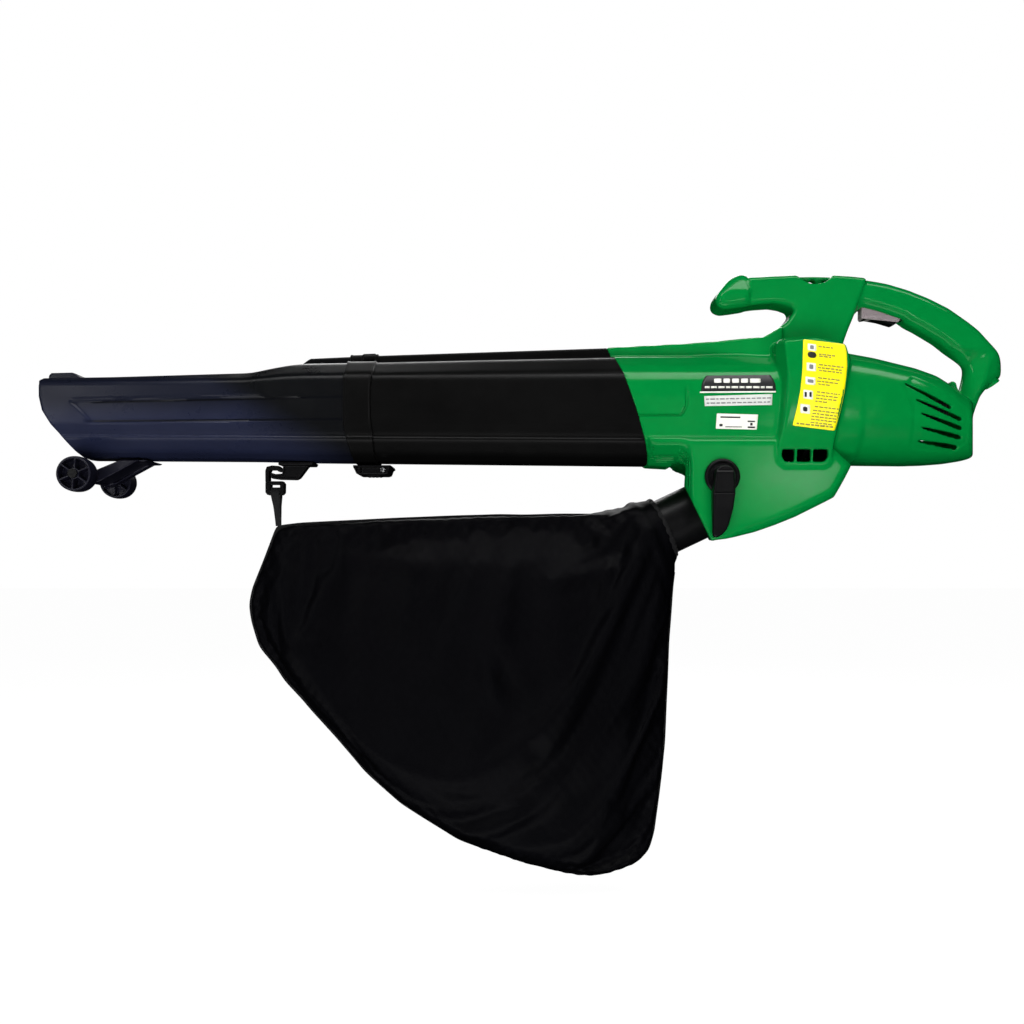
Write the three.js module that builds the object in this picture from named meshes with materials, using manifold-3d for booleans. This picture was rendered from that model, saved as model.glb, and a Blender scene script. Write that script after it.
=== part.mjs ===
// Hand-held electric leaf vacuum mulcher.
// Units are millimetres, +Z is up, the nozzle points to -X, and the origin is the
// centre of the shoulder-strap eye on top of the housing.
import * as THREE from 'three';
import { mergeVertices } from 'three/addons/utils/BufferGeometryUtils.js';
import Module from 'manifold-3d';

const wasm = await Module();
wasm.setup();

// ---------------------------------------------------------------- driving dimensions
const GAP = 0.3;              // running gap between neighbouring pieces
const WALL = 3;               // moulded wall of the tubes and the housing
const AXIS_Z = -157;          // fan and motor axis, below the strap eye
const TUBE_HALF = 58;         // half width of the tube
const TUBE_TOP = 60;          // top of the tube above the axis
const TUBE_BOTTOM = 61;       // bottom of the tube below the axis
const NOZZLE_TIP_X = -905;    // lip of the nozzle
const JOINT_X = -551;         // front edge of the joint collar
const COLLAR_END_X = -518;    // rear edge of the joint collar
const WHEEL_X = -853.9, WHEEL_Z = -232.9, WHEEL_R = 20.5, WHEEL_OUT = 72.5, WHEEL_W = 22;
const AXLE_R = 3;
const DUCT_HALF = 60;         // half width of the housing ahead of the fan
const VOLUTE_HALF = 66;       // half width of the fan scroll
const HOOD_HALF = 74;         // half width of the raised band
const GRIP_HALF = 17.5;       // half width of the rear handle
const NECK_HALF = 20.5;       // half width of the neck and the front horn
const PORT = [-138, 0, -273.6];              // centre of the bag port
const PORT_DIR = [-0.9036, 0, -0.4284];      // direction the bag spigot points
const SPIGOT_R = 33.7, SPIGOT_IN = 20, SPIGOT_OUT = 50;
const SELECTOR_X = -120, SELECTOR_Z = -236, SELECTOR_R = 5;
const IMPELLER_R = 56, IMPELLER_X0 = -62, IMPELLER_X1 = -26;
const SHAFT_R = 5;
const STATOR_R = 41, STATOR_X0 = 36, STATOR_X1 = 88;
const TRIGGER_PIVOT = [102, -38];
const BAG_DEPTH = 70;         // half thickness of the hanging bag
const BAG_WALL = 3;

// ---------------------------------------------------------------- geometry helpers
function positions(geometry) {
  const g = geometry.clone();
  for (const k of Object.keys(g.attributes)) if (k !== 'position') g.deleteAttribute(k);
  return mergeVertices(g, 1e-4);
}

function solid(geometry) {
  const g = positions(geometry);
  const p = g.attributes.position.array;
  const idx = g.index.array;
  const tri = [];
  let vol = 0;
  for (let i = 0; i < idx.length; i += 3) {
    const [a, b, c] = [idx[i], idx[i + 1], idx[i + 2]];
    if (a === b || b === c || a === c) continue;
    tri.push(a, b, c);
    const A = a * 3, B = b * 3, C = c * 3;
    vol += p[A] * (p[B + 1] * p[C + 2] - p[B + 2] * p[C + 1])
         - p[A + 1] * (p[B] * p[C + 2] - p[B + 2] * p[C])
         + p[A + 2] * (p[B] * p[C + 1] - p[B + 1] * p[C]);
  }
  if (vol < 0) for (let i = 0; i < tri.length; i += 3) [tri[i + 1], tri[i + 2]] = [tri[i + 2], tri[i + 1]];
  return new wasm.Manifold(new wasm.Mesh({
    numProp: 3,
    vertProperties: new Float32Array(p),
    triVerts: new Uint32Array(tri),
  }));
}

function geometryOf(manifold) {
  const m = manifold.getMesh();
  const g = new THREE.BufferGeometry();
  g.setAttribute('position', new THREE.BufferAttribute(new Float32Array(m.vertProperties), 3));
  g.setIndex(new THREE.BufferAttribute(new Uint32Array(m.triVerts), 1));
  g.computeVertexNormals();
  return g;
}

const join = (...list) => list.reduce((a, b) => a.add(b));
const cut = (a, ...list) => list.reduce((s, b) => s.subtract(b), a);

// a closed band of rings; loop joins the last ring to the first, otherwise the ends are capped
function loft(rings, loop = false) {
  const n = rings[0].length;
  const pos = [];
  for (const r of rings) for (const v of r) pos.push(v[0], v[1], v[2]);
  const idx = [];
  const m = rings.length;
  for (let i = 0; i < (loop ? m : m - 1); i++) {
    const a = i * n, b = ((i + 1) % m) * n;
    for (let j = 0; j < n; j++) {
      const k = (j + 1) % n;
      idx.push(a + j, b + j, b + k, a + j, b + k, a + k);
    }
  }
  if (!loop) {
    const centre = (r) => r.reduce((s, v) => [s[0] + v[0] / n, s[1] + v[1] / n, s[2] + v[2] / n], [0, 0, 0]);
    const c0 = pos.length / 3; pos.push(...centre(rings[0]));
    const c1 = pos.length / 3; pos.push(...centre(rings[m - 1]));
    for (let j = 0; j < n; j++) {
      const k = (j + 1) % n;
      idx.push(c0, j, k);
      idx.push(c1, (m - 1) * n + k, (m - 1) * n + j);
    }
  }
  const g = new THREE.BufferGeometry();
  g.setAttribute('position', new THREE.BufferAttribute(new Float32Array(pos), 3));
  g.setIndex(idx);
  return solid(g);
}

// an outline in the XZ plane, given thickness in Y, with an optional chamfer inside the outline
function plate(points, y0, y1, bevel = 0, segments = 1) {
  const shape = new THREE.Shape(points.map(([x, z]) => new THREE.Vector2(x, z)));
  const g = new THREE.ExtrudeGeometry(shape, {
    depth: y1 - y0 - 2 * bevel,
    bevelEnabled: bevel > 0,
    bevelThickness: bevel,
    bevelSize: bevel,
    bevelOffset: -bevel,
    bevelSegments: segments,
    steps: 1,
  });
  g.rotateX(Math.PI / 2);
  g.translate(0, y1 - bevel, 0);
  return solid(g);
}

// a plate whose two faces shrink towards a centre over the chamfer depth
function tapered(points, half, depth, [cx, cz], scale) {
  const at = (y, k) => points.map(([x, z]) => [cx + (x - cx) * k, y, cz + (z - cz) * k]);
  return loft([at(-half, scale), at(-half + depth, 1), at(half - depth, 1), at(half, scale)]);
}

function box(x0, x1, y0, y1, z0, z1) {
  const g = new THREE.BoxGeometry(x1 - x0, y1 - y0, z1 - z0);
  g.translate((x0 + x1) / 2, (y0 + y1) / 2, (z0 + z1) / 2);
  return solid(g);
}

function cylY(r, y0, y1, x, z, n = 20, r2 = r) {
  const g = new THREE.CylinderGeometry(r2, r, y1 - y0, n);
  g.translate(x, (y0 + y1) / 2, z);
  return solid(g);
}

function cylX(r, x0, x1, n = 24, y = 0, z = AXIS_Z) {
  const g = new THREE.CylinderGeometry(r, r, x1 - x0, n);
  g.rotateZ(-Math.PI / 2);
  g.translate((x0 + x1) / 2, y, z);
  return solid(g);
}

// a closed profile of [x, r] turned about the motor axis
function turnX(profile, n = 24) {
  const pts = profile.map(([x, r]) => new THREE.Vector2(r, x));
  pts.push(pts[0].clone());
  const g = new THREE.LatheGeometry(pts, n);
  g.rotateZ(-Math.PI / 2);
  g.translate(0, 0, AXIS_Z);
  return solid(g);
}

// a closed profile of [s, r] turned about the axis from origin along direction
function turnAlong(profile, origin, direction, n = 28) {
  const pts = profile.map(([s, r]) => new THREE.Vector2(r, s));
  pts.push(pts[0].clone());
  const g = new THREE.LatheGeometry(pts, n);
  const q = new THREE.Quaternion().setFromUnitVectors(
    new THREE.Vector3(0, 1, 0), new THREE.Vector3(...direction).normalize());
  g.applyQuaternion(q);
  g.translate(...origin);
  return solid(g);
}

// ---------------------------------------------------------------- tube section
// half of the faceted tube section: [y, z above the axis], top to bottom
const SECTION = [[0, 60], [25, 58], [45, 47], [56, 36], [58, -9], [54, -34], [40, -52], [20, -60], [0, -61]];

function tubeRing(x, top, bottom, half, off = 0) {
  const pts = [];
  const add = ([y, z], s) => {
    const ky = (half + off) / TUBE_HALF;
    const kz = z > 0 ? (top + off) / TUBE_TOP : (bottom + off) / TUBE_BOTTOM;
    pts.push([x, s * y * ky, AXIS_Z + z * kz]);
  };
  for (const p of SECTION) add(p, -1);
  for (let i = SECTION.length - 2; i > 0; i--) add(SECTION[i], 1);
  return pts;
}

// [x, top above axis, bottom below axis, half width]
const NOZZLE = [
  [-925, 41.5, 54, 54], [-826, 43, 54.5, 55], [-665, 48, 55.5, 56.5],
  [-636, 55, 56, 57], [-608, 59, 56.5, 57.5], [JOINT_X, 60, 57.5, 58],
];
const tubeAt = (x, off) => tubeRing(x, 60, 57.5 + (x - JOINT_X) * 0.01, 58, off);

// ---------------------------------------------------------------- nozzle
const mouth = plate([
  [-960, -40], [-905, -40], [NOZZLE_TIP_X, -128.9], [NOZZLE_TIP_X + 1, -142.7], [-900, -158.7], [-890, -174.8],
  [-876, -190.8], [-865, -208], [-858, -222], [-858, -260], [-960, -260]], -90, 90);
let nozzle = join(
  loft(NOZZLE.map(([x, t, b, h]) => tubeRing(x, t, b, h))),
  loft([tubeRing(JOINT_X - 8, 60, 57.5, 58, -3.4), tubeRing(COLLAR_END_X - 6, 60, 57.5, 58, -3.4)]),
  plate([[-618, -97], [-600, -90.5], [JOINT_X - 0.3, -89.5], [JOINT_X - 0.3, -104], [-618, -104]], -5, 5),
);
nozzle = cut(nozzle, mouth,
  loft([...NOZZLE.map(([x, t, b, h]) => tubeRing(x === -925 ? -930 : x, t, b, h, -WALL)).slice(0, 5),
    tubeRing(JOINT_X - 14, 60, 57.5, 58, -WALL), tubeRing(JOINT_X - 8, 60, 57.5, 58, -6), tubeRing(COLLAR_END_X, 60, 57.5, 58, -6)]));
// lip tab on top of the mouth
nozzle = join(nozzle,
  plate([[-912, -113.5], [-909, -107.5], [-880, -106.5], [-871, -113.5], [-871, -117.5], [-912, -117.5]], -22, 22, 1.5));

// ---------------------------------------------------------------- rear tube
// slanted edge where the tube enters the housing: [x, z] from top to bottom
const BOUND = [[-249, -60], [-245.4, -77.4], [-239.4, -90.6], [-232.2, -111], [-216.6, -156.6], [-198.6, -219], [-192, -240]];
const boundShift = (d) => BOUND.map(([x, z]) => [x + d, z]);
const behind = (d) => plate([...boundShift(d), [-100, -240], [-100, -60]], -90, 90);
const ahead = (d) => plate([...boundShift(d), [-420, -240], [-420, -60]], -90, 90);
let rearTube = join(
  cut(join(
    loft([tubeAt(COLLAR_END_X - 4, 0), tubeAt(-180, 0)]),
    plate([[COLLAR_END_X - 4, -88.5], [-245, -76.5], [-190, -74], [-190, -104], [COLLAR_END_X - 4, -104]], -5, 5),
  ), behind(-0.2)),
  loft([tubeAt(JOINT_X, 1.6), tubeAt(COLLAR_END_X, 1.6)]),
  cut(loft([tubeAt(-300, -3.4), tubeAt(-150, -3.4)]), behind(22)),
);
rearTube = cut(rearTube,
  loft([tubeAt(JOINT_X - 2, -3.0), tubeAt(COLLAR_END_X - 5, -3.0), tubeAt(COLLAR_END_X - 3, -WALL),
    tubeAt(-300, -WALL), tubeAt(-270, -6), tubeAt(-100, -6)]));

// ---------------------------------------------------------------- green housing
// side outline of the top: horn, neck, strap eye, rear handle and rear post
const GRIP = [
  [-60, -68.5], [-48.6, -59.4], [-33.7, -49.4], [-24.6, -36.6], [-27, -31.8], [-36.6, -28.2], [-66.6, -27.6], [-93, -32.4],
  [-107.4, -34.2], [-115.8, -30.6], [-118.2, -24.6], [-112.2, -11.4], [-102.6, 0.6], [-95.4, 6], [-85.8, 9.6],
  [-72.6, 4.6], [-48.6, 5.4], [0.6, 7.2], [47.4, 4.8], [77.4, 0.6], [101.4, -5.4],
  [125.4, -13.8], [149.4, -24.6], [173.4, -39], [197.4, -57], [221.4, -83.4], [226.2, -93],
  [227.4, -112.2], [207, -127.2], [199.8, -136.2], [195, -150], [185, -162], [60, -140], [-60, -110]];
const HANDLE_HOLE = [
  [44.4, -54.6], [50, -40], [57, -30.1], [77.4, -35.4], [105.6, -45], [125.4, -57], [149.4, -71.4], [173.4, -91.8],
  [183, -104], [181.8, -114.6], [176.5, -132], [161.4, -124.6], [145.8, -112.8], [113.4, -100.2], [65.4, -88.2], [45, -84.6]];
const VOLUTE = [
  [-200, -212], [-196, -219.2], [-168.6, -221.4], [-157, -226], [-154.2, -239.4], [-121.8, -307.8], [-102.6, -305.4], [-66.6, -297], [-30.6, -283.8],
  [5.4, -267], [28.2, -255.6], [41.4, -232.2], [48.6, -216], [46, -190], [-180, -190]];
const HOOD = [
  [-44, -84.9], [-45.8, -127.7], [-51.4, -184], [-54.8, -201], [-53.7, -215.7], [-48, -220.5], [-4, -220.5],
  [1.6, -215.7], [3.8, -201], [7.2, -186.4], [19.6, -132.3], [23, -101.8], [17.4, -83]];
// [x, top z, bottom z, half width] of the motor end
const MOTOR = [
  [28, -81.5, -216.5, 66], [65.4, -88.2, -217, 65.5], [113.4, -100.2, -217.5, 63], [137.4, -108.6, -216.8, 60],
  [161.4, -124.6, -215.2, 54], [181.8, -137, -211.5, 45], [191, -146, -205, 37], [194.8, -156, -195, 28]];

function motorRing([x, zt, zb, h], off = 0) {
  const c = (zt + zb) / 2, hz = (zt - zb) / 2 + off, hy = h + off, e = 2.6, out = [];
  for (let i = 0; i < 20; i++) {
    const t = (i / 20) * 2 * Math.PI, s = Math.sin(t), k = Math.cos(t);
    out.push([x, hy * Math.sign(s) * Math.abs(s) ** (2 / e), c + hz * Math.sign(k) * Math.abs(k) ** (2 / e)]);
  }
  return out;
}
// [x, top above axis, bottom below axis, half width] of the duct part
const DUCT = [[-262, 79.6, 62, 58.6], [-200, 82, 62, 59.5], [-132, 85.6, 62, DUCT_HALF], [-60, 88, 61, 62], [50, 74, 60.5, 65.5]];
const ductOuter = DUCT.map(([x, t, b, h]) => tubeRing(x, t, b, h));
const ductInner = DUCT.map(([x, t, b, h]) => tubeRing(x, Math.min(t, 63.5) + (x < -190 ? -0.2 : 0), b, h, -WALL));

const gripOuter = cut(join(plate(GRIP, -GRIP_HALF, GRIP_HALF),
  plate(GRIP.slice(0, 19).concat([[60, -10], [45, -57], [46, -90], [-60, -110]]), -NECK_HALF, NECK_HALF)),
  plate(HANDLE_HOLE, -60, 60));
let outer = join(
  loft(ductOuter), tapered(VOLUTE, VOLUTE_HALF, 11, [-62, -232], 0.86), tapered(HOOD, HOOD_HALF, 5, [-15, -152], 0.92),
  loft(MOTOR.map((m) => motorRing(m))), gripOuter,
  plate([[166, -128], [167.4, -118.2], [172, -117.5], [173.5, -121], [176, -135], [180, -150], [165, -140]], -5, 5));
outer = cut(outer, ahead(0.2));

// the hollow inside the grip, kept one wall away from the outline and from the hand hole
const GRIP_INSIDE = [
  [-92, 2], [-72.6, 1], [-48, 1.8], [0.6, 3.6], [47, 1.4], [76.6, -2.8], [100.4, -8.8], [124, -17.2], [147.6, -28], [171.4, -42.2],
  [194.6, -59.8], [217.8, -85], [222.2, -94], [223.4, -110], [204.4, -124.6], [196.4, -136], [191, -148], [184, -158], [60, -136],
  [0, -112], [-4, -72], [-10, -62], [-20.6, -46], [-19.5, -33], [-27, -25.6], [-66.6, -23.8], [-92, -28.6], [-106, -30],
  [-112, -25.4], [-108, -13], [-99, -1.6]];
const HOLE_OUTSIDE = [
  [41, -55], [46.6, -38.4], [55.2, -26.4], [78.2, -32], [107, -41.7], [127.2, -53.9], [151.6, -68.6], [175.8, -89.4],
  [186.4, -103], [185.2, -115], [179, -137], [160, -128.4], [144, -116.2], [112, -103.6], [64.6, -91.6], [41, -88]];
const gripCavity = cut(plate(GRIP_INSIDE, -GRIP_HALF + WALL, GRIP_HALF - WALL), plate(HOLE_OUTSIDE, -60, 60));
let cavity = join(
  loft(ductInner),
  loft(MOTOR.slice(0, 7).map((m, i) => motorRing(i === 0 ? [20, m[1], m[2], 64] : m, -WALL))),
  plate([[-150, -222.5], [-150, -240], [-119.5, -302.5], [-102.6, -301], [-88, -297.5], [-88, -222.5]], -VOLUTE_HALF + 8, VOLUTE_HALF - 8),
  plate([[-88, -204], [-88, -298], [-66.6, -292.5], [-30.6, -279.5], [-20, -274.5], [-20, -204]], -VOLUTE_HALF + 8, VOLUTE_HALF - 8),
  box(-88, -20, -40, 40, -230, -180),
  plate([[-21, -222.5], [-21, -274.5], [5.4, -262.5], [25, -252], [34, -231], [36, -222.5]], -VOLUTE_HALF + 8, VOLUTE_HALF - 8),
  gripCavity);

// screws that clamp the two halves: [x, z, y of the head seat, y of the tip]
const SCREWS = [[-96, -14, 14, -12], [20, -30, 14, -12], [122, -31, 11, -11], [207, -92, 11, -11], [20, -240, 14, -12]];
let bosses = null, screwHoles = null;
for (const [x, z, seat, tip] of SCREWS) {
  const b = z < -200 ? cylY(5, -60, 60, x, z, 10) : cylY(5, tip - 6, seat + 12, x, z, 10);
  const h = join(cylY(2.3, tip - 0.5, seat + 2, x, z, 8), cylY(4.2, seat, 80, x, z, 10));
  bosses = bosses ? bosses.add(b) : b;
  screwHoles = screwHoles ? screwHoles.add(h) : h;
}
// rib that carries the stator
const ribs = cut(
  loft([motorRing([32.6, -82.5, -216.6, 65.8], -1), motorRing([35.6, -83, -216.6, 65.8], -1)]),
  cylX(37.5, 20, 100, 18));
const portSleeve = turnAlong([[-20, 34.1], [-20, 37.3], [0, 37.3], [0, 34.1]], PORT, PORT_DIR, 24);
const portBore = turnAlong([[-30, 0], [-30, 34.1], [12, 34.1], [12, 0]], PORT, PORT_DIR, 24);

let housing = join(cut(outer, cavity), bosses.intersect(outer), ribs.intersect(outer), portSleeve.intersect(outer));
// selector bearing bosses
housing = join(housing, cylY(10, -66, -52, SELECTOR_X, SELECTOR_Z, 20), cylY(10, 54, 66, SELECTOR_X, SELECTOR_Z, 20));
// cooling slots at the motor end, rising to the front
const SLOTS = [[[92, -131], [144, -157]], [[104, -147], [157, -168]], [[108, -162], [158, -178.5]], [[109, -178], [158, -189.5]], [[108, -193], [154, -200]]];
let slots = null;
for (const [[x0, z0], [x1, z1]] of SLOTS) {
  const l = Math.hypot(x1 - x0, z1 - z0), nx = -(z1 - z0) / l * 2.2, nz = (x1 - x0) / l * 2.2;
  const s = plate([[x0 + nx, z0 + nz], [x1 + nx, z1 + nz], [x1 - nx, z1 - nz], [x0 - nx, z0 - nz]], -80, 80);
  slots = slots ? slots.add(s) : s;
}
slots = slots.subtract(box(80, 170, -40, 40, -230, -80));
// pockets under the raised band, where the cooling air is drawn in
const pockets = join(box(-48, -8, -71, -66.8, -240, -190), box(-48, -8, 66.8, 71, -240, -190));
const INLET_DIR = [0.59, 0, -0.807];
const INLET_AT = [217.5, 0, -119.5];
housing = cut(housing, screwHoles, slots, pockets, portBore,
  cylY(SELECTOR_R + GAP, -90, -40, SELECTOR_X, SELECTOR_Z, 20), cylY(SELECTOR_R + GAP, 40, 63, SELECTOR_X, SELECTOR_Z, 20),
  cylY(4, -60, 60, 0, 0, 20),
  box(57.4, 108, -8.4, 8.4, -64, -16),
  cylY(2.3, -15.6, 15.6, TRIGGER_PIVOT[0], TRIGGER_PIVOT[1], 12),
  turnAlong([[-14, 0], [-14, 9.4], [6, 9.4], [6, 0]], INLET_AT, INLET_DIR, 14));
const housingLeft = cut(housing, box(-400, 400, -0.15, 200, -400, 200));
const housingRight = cut(housing, box(-400, 400, -200, 0.15, -400, 200));

// ---------------------------------------------------------------- fan and motor
const inletRing = cut(
  loft([tubeRing(-92, 63.5, 61, 60.5, -WALL - 0.5), tubeRing(-88.5, 63.5, 61, 60.5, -WALL - 0.5)]),
  turnX([[-100, 0], [-100, 48], [-90, 42], [-80, 42], [-80, 0]], 28));

function fan(x0, x1, rIn, rOut, count, twist, thick, disc0, disc1, hubR, boreR, hubEnd) {
  let f = join(cylX(rOut, disc0, disc1, 24), cylX(hubR, Math.min(disc0, hubEnd), Math.max(disc1, hubEnd), 20));
  for (let i = 0; i < count; i++) {
    const a = (i / count) * 2 * Math.PI;
    const pts = [0, 0.5, 1].map((t) => {
      const r = rIn + (rOut - 1 - rIn) * t, b = a + twist * t * t;
      return [r * Math.cos(b), r * Math.sin(b)];
    });
    const side = (s) => pts.map(([y, z], j) => {
      const p = pts[Math.max(0, j - 1)], q = pts[Math.min(2, j + 1)];
      const d = Math.hypot(q[0] - p[0], q[1] - p[1]);
      return [y - s * (q[1] - p[1]) / d * thick / 2, z + s * (q[0] - p[0]) / d * thick / 2];
    });
    const outline = [...side(1), ...side(-1).reverse()];
    f = f.add(loft([x0, x1].map((x) => outline.map(([y, z]) => [x, y, z + AXIS_Z]))));
  }
  return cut(f, cylX(boreR, Math.min(x0, disc0, hubEnd) - 5, Math.max(x1, disc1, hubEnd) + 5, 16));
}
const impeller = fan(IMPELLER_X0, IMPELLER_X1 - 3, 11, IMPELLER_R, 8, 0.55, 3, IMPELLER_X1 - 4, IMPELLER_X1, 13, SHAFT_R + GAP, IMPELLER_X0 - 2);
const coolingFan = fan(7, 17, 10, 44, 9, 0.3, 2, 4, 7.2, 12, SHAFT_R + GAP, 18);
const washer = turnX([[-66.4, SHAFT_R + GAP], [-66.4, 11], [-64.4, 11], [-64.4, SHAFT_R + GAP]], 20);
const nut = cut(cylX(9.5, -74, -66.8, 6), cylX(SHAFT_R + GAP, -80, -60, 14));
const shaft = turnX([[-78, 0], [-78, 4.4], [-76.8, SHAFT_R], [151, SHAFT_R], [151, 0]], 16);
let bulkhead = loft([tubeRing(-18.5, 63, 60, 62.4, -WALL - 0.6), tubeRing(-14.5, 63, 60, 62.4, -WALL - 0.6)]);
bulkhead = cut(bulkhead.add(cylX(17, -15, -4, 24)), cylX(13.3, -14, 0, 24), cylX(8, -30, 0, 16));
const bearingRing = (x0, x1) => turnX([[x0, SHAFT_R + 0.18], [x0, 13], [x1, 13], [x1, SHAFT_R + 0.18]], 16);
const bearingFront = bearingRing(-13.6, -4.6);
const bearingRear = bearingRing(139.5, 148.5);
const rotorProfile = [];
for (let i = 0; i < 12; i++) {
  const a = (i / 12) * 2 * Math.PI;
  for (const [r, d] of [[23.5, -0.19], [23.5, 0.19], [17, 0.12], [17, 0.4]]) rotorProfile.push([r * Math.cos(a + d), r * Math.sin(a + d)]);
}
const rotorCore = cut(loft([40, 84].map((x) => rotorProfile.map(([y, z]) => [x, y, z + AXIS_Z]))), cylX(SHAFT_R + 0.05, 30, 95, 16));
const commutator = turnX([[98, SHAFT_R + 0.05], [98, 15.5], [118, 15.5], [118, SHAFT_R + 0.05]], 24);
const stator = join(
  turnX([[STATOR_X0, 37], [STATOR_X0, STATOR_R], [STATOR_X1, STATOR_R], [STATOR_X1, 37]], 28),
  ...[-1, 1].map((q) => cut(join(
    box(STATOR_X0, STATOR_X1, -12, 12, Math.min(AXIS_Z + q * 20, AXIS_Z + q * 38), Math.max(AXIS_Z + q * 20, AXIS_Z + q * 38)),
    cylX(27, STATOR_X0, STATOR_X1, 28).intersect(box(0, 120, -20, 20, Math.min(AXIS_Z + q * 14, AXIS_Z + q * 30), Math.max(AXIS_Z + q * 14, AXIS_Z + q * 30)))),
    cylX(24.3, 0, 120, 28))));
const coil = (q) => {
  const z0 = AXIS_Z + q * 27.4, z1 = AXIS_Z + q * 31;
  return cut(box(STATOR_X0 - 8, STATOR_X1 + 8, -19.6, 19.6, Math.min(z0, z1), Math.max(z0, z1)),
    box(STATOR_X0 - 0.4, STATOR_X1 + 0.4, -12.4, 12.4, AXIS_Z - 60, AXIS_Z + 60));
};
const holder = (s) => {
  const o = box(104, 114, Math.min(s * 18.5, s * 42), Math.max(s * 18.5, s * 42), AXIS_Z - 7, AXIS_Z + 7);
  return cut(o, box(105.7, 112.3, Math.min(s * 10, s * 40), Math.max(s * 10, s * 40), AXIS_Z - 4.7, AXIS_Z + 4.7));
};
const brush = (s) => box(106, 112, Math.min(s * 15.8, s * 34), Math.max(s * 15.8, s * 34), AXIS_Z - 4.4, AXIS_Z + 4.4);
let rearBracket = join(cylX(17, 138, 149, 24),
  box(138.5, 143, -52, 52, AXIS_Z - 9, AXIS_Z + 9),
  box(103, 139, -50, -42.4, AXIS_Z - 9, AXIS_Z + 9), box(103, 139, 42.4, 50, AXIS_Z - 9, AXIS_Z + 9));
rearBracket = cut(rearBracket, cylX(13.3, 139.2, 160, 24), cylX(8, 120, 150, 16));

// ---------------------------------------------------------------- switch gear in the handle
const trigger = cut(
  plate([[58.5, -26.5], [58, -43.5], [61.5, -43.8], [66, -42.6], [80, -45.2], [97, -50.6], [103, -47.5], [107, -43], [107, -34], [99, -30], [74, -25], [62, -24]], -7.5, 7.5, 1),
  cylY(2.35, -20, 20, TRIGGER_PIVOT[0], TRIGGER_PIVOT[1], 12));
const triggerPin = cylY(2, -15.2, 15.2, TRIGGER_PIVOT[0], TRIGGER_PIVOT[1], 12);
const springPath = new THREE.CatmullRomCurve3(
  Array.from({ length: 25 }, (_, i) => new THREE.Vector3(67 + 3 * Math.cos(i * Math.PI / 3), 3 * Math.sin(i * Math.PI / 3), -23.2 + i * 0.8)));
const springSection = new THREE.Shape(Array.from({ length: 5 }, (_, i) => new THREE.Vector2(0.5 * Math.cos(i * 1.2566), 0.5 * Math.sin(i * 1.2566))));
const triggerSpring = solid(new THREE.ExtrudeGeometry(springSection, { steps: 40, extrudePath: springPath, bevelEnabled: false }));
const switchBody = join(box(74, 98, -8, 8, -20.5, -10.5), box(78, 82, -3, 3, -21.3, -20));
const capacitor = box(-18, -2, -7, 7, -30, -14);
const mainsInlet = cut(turnAlong([[-13, 0], [-13, 9], [1.5, 9], [1.5, 0]], INLET_AT, INLET_DIR, 14),
  turnAlong([[-9, 3], [-9, 7], [6, 7], [6, 3]], INLET_AT, INLET_DIR, 10));

// ---------------------------------------------------------------- blow / vacuum selector
const flap = cut(join(
  plate([[-120, -232.5], [-62, -234.6], [-62, -237.4], [-120, -239.5]], -50, 50),
  cylY(8.4, -50, 50, SELECTOR_X, SELECTOR_Z, 18)), cylY(SELECTOR_R + 0.05, -60, 60, SELECTOR_X, SELECTOR_Z, 18));
let lever = join(
  cylY(20, -72, -66.4, SELECTOR_X, SELECTOR_Z, 28, 20),
  cylY(11.5, -84, -70, SELECTOR_X, SELECTOR_Z, 20),
  plate([[-131, -240], [-109, -240], [-108.5, -256], [-116.5, -295], [-121, -303.5], [-132, -304.5], [-133.5, -256]], -86, -73, 2));
lever = cut(lever, cylY(SELECTOR_R + 0.05, -79.8, -60, SELECTOR_X, SELECTOR_Z, 18));
const leverShaft = cylY(SELECTOR_R, -79.4, 62.5, SELECTOR_X, SELECTOR_Z, 18);

// ---------------------------------------------------------------- bag spigot, bag, strap and clip
const spigot = turnAlong([[-SPIGOT_IN, 31], [-SPIGOT_IN, SPIGOT_R - 0.6], [-SPIGOT_IN + 3, SPIGOT_R], [SPIGOT_OUT - 6, SPIGOT_R],
  [SPIGOT_OUT - 4, SPIGOT_R + 2], [SPIGOT_OUT, SPIGOT_R + 2], [SPIGOT_OUT, 31]], PORT, PORT_DIR, 24);
const BAG = [
  [-639, -290.5], [-612.6, -286.6], [-552.6, -283.2], [-492.6, -280.2], [-432.6, -277.8], [-372.6, -276], [-300.6, -275.4],
  [-243, -275.4], [-228.6, -266.5], [-205, -261], [-192, -262], [-166.8, -318], [-162.5, -333], [-165, -361.8], [-169.8, -425.4],
  [-173.8, -521.4], [-178.6, -585.7], [-187.8, -656.4], [-194.5, -678.4], [-209.8, -693.5], [-235, -702.6],
  [-265.3, -707.8], [-295.8, -705], [-348.6, -691.8], [-423.1, -665.4], [-491.8, -622.2], [-534.6, -583.8],
  [-598.9, -510.6], [-641.8, -457.8], [-661.1, -434.3], [-670.7, -403.8], [-673.4, -384.6], [-669.6, -365.4], [-654.6, -327]];
const BAG_CENTRE = [-360, -455];
function pillow(scale, depth) {
  const rings = [];
  for (const [t, h] of [[0.2, -0.98], [0.56, -0.84], [0.84, -0.52], [0.96, -0.24], [1, 0], [0.96, 0.24], [0.84, 0.52], [0.56, 0.84], [0.2, 0.98]]) {
    rings.push(BAG.map(([x, z]) => {
      const s = t * scale;
      // the front corner is flatter than the end that hangs on the spigot
      const px = BAG_CENTRE[0] + (x - BAG_CENTRE[0]) * s;
      const k = 0.72 + 0.28 * Math.min(1, Math.max(0, (px + 640) / 330));
      return [px, h * depth * k, BAG_CENTRE[1] + (z - BAG_CENTRE[1]) * s];
    }));
  }
  return loft(rings);
}
const neckOuter = turnAlong([[33, 0], [33, 37.5], [60, 40], [115, 52], [115, 0]], PORT, PORT_DIR, 20);
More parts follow.
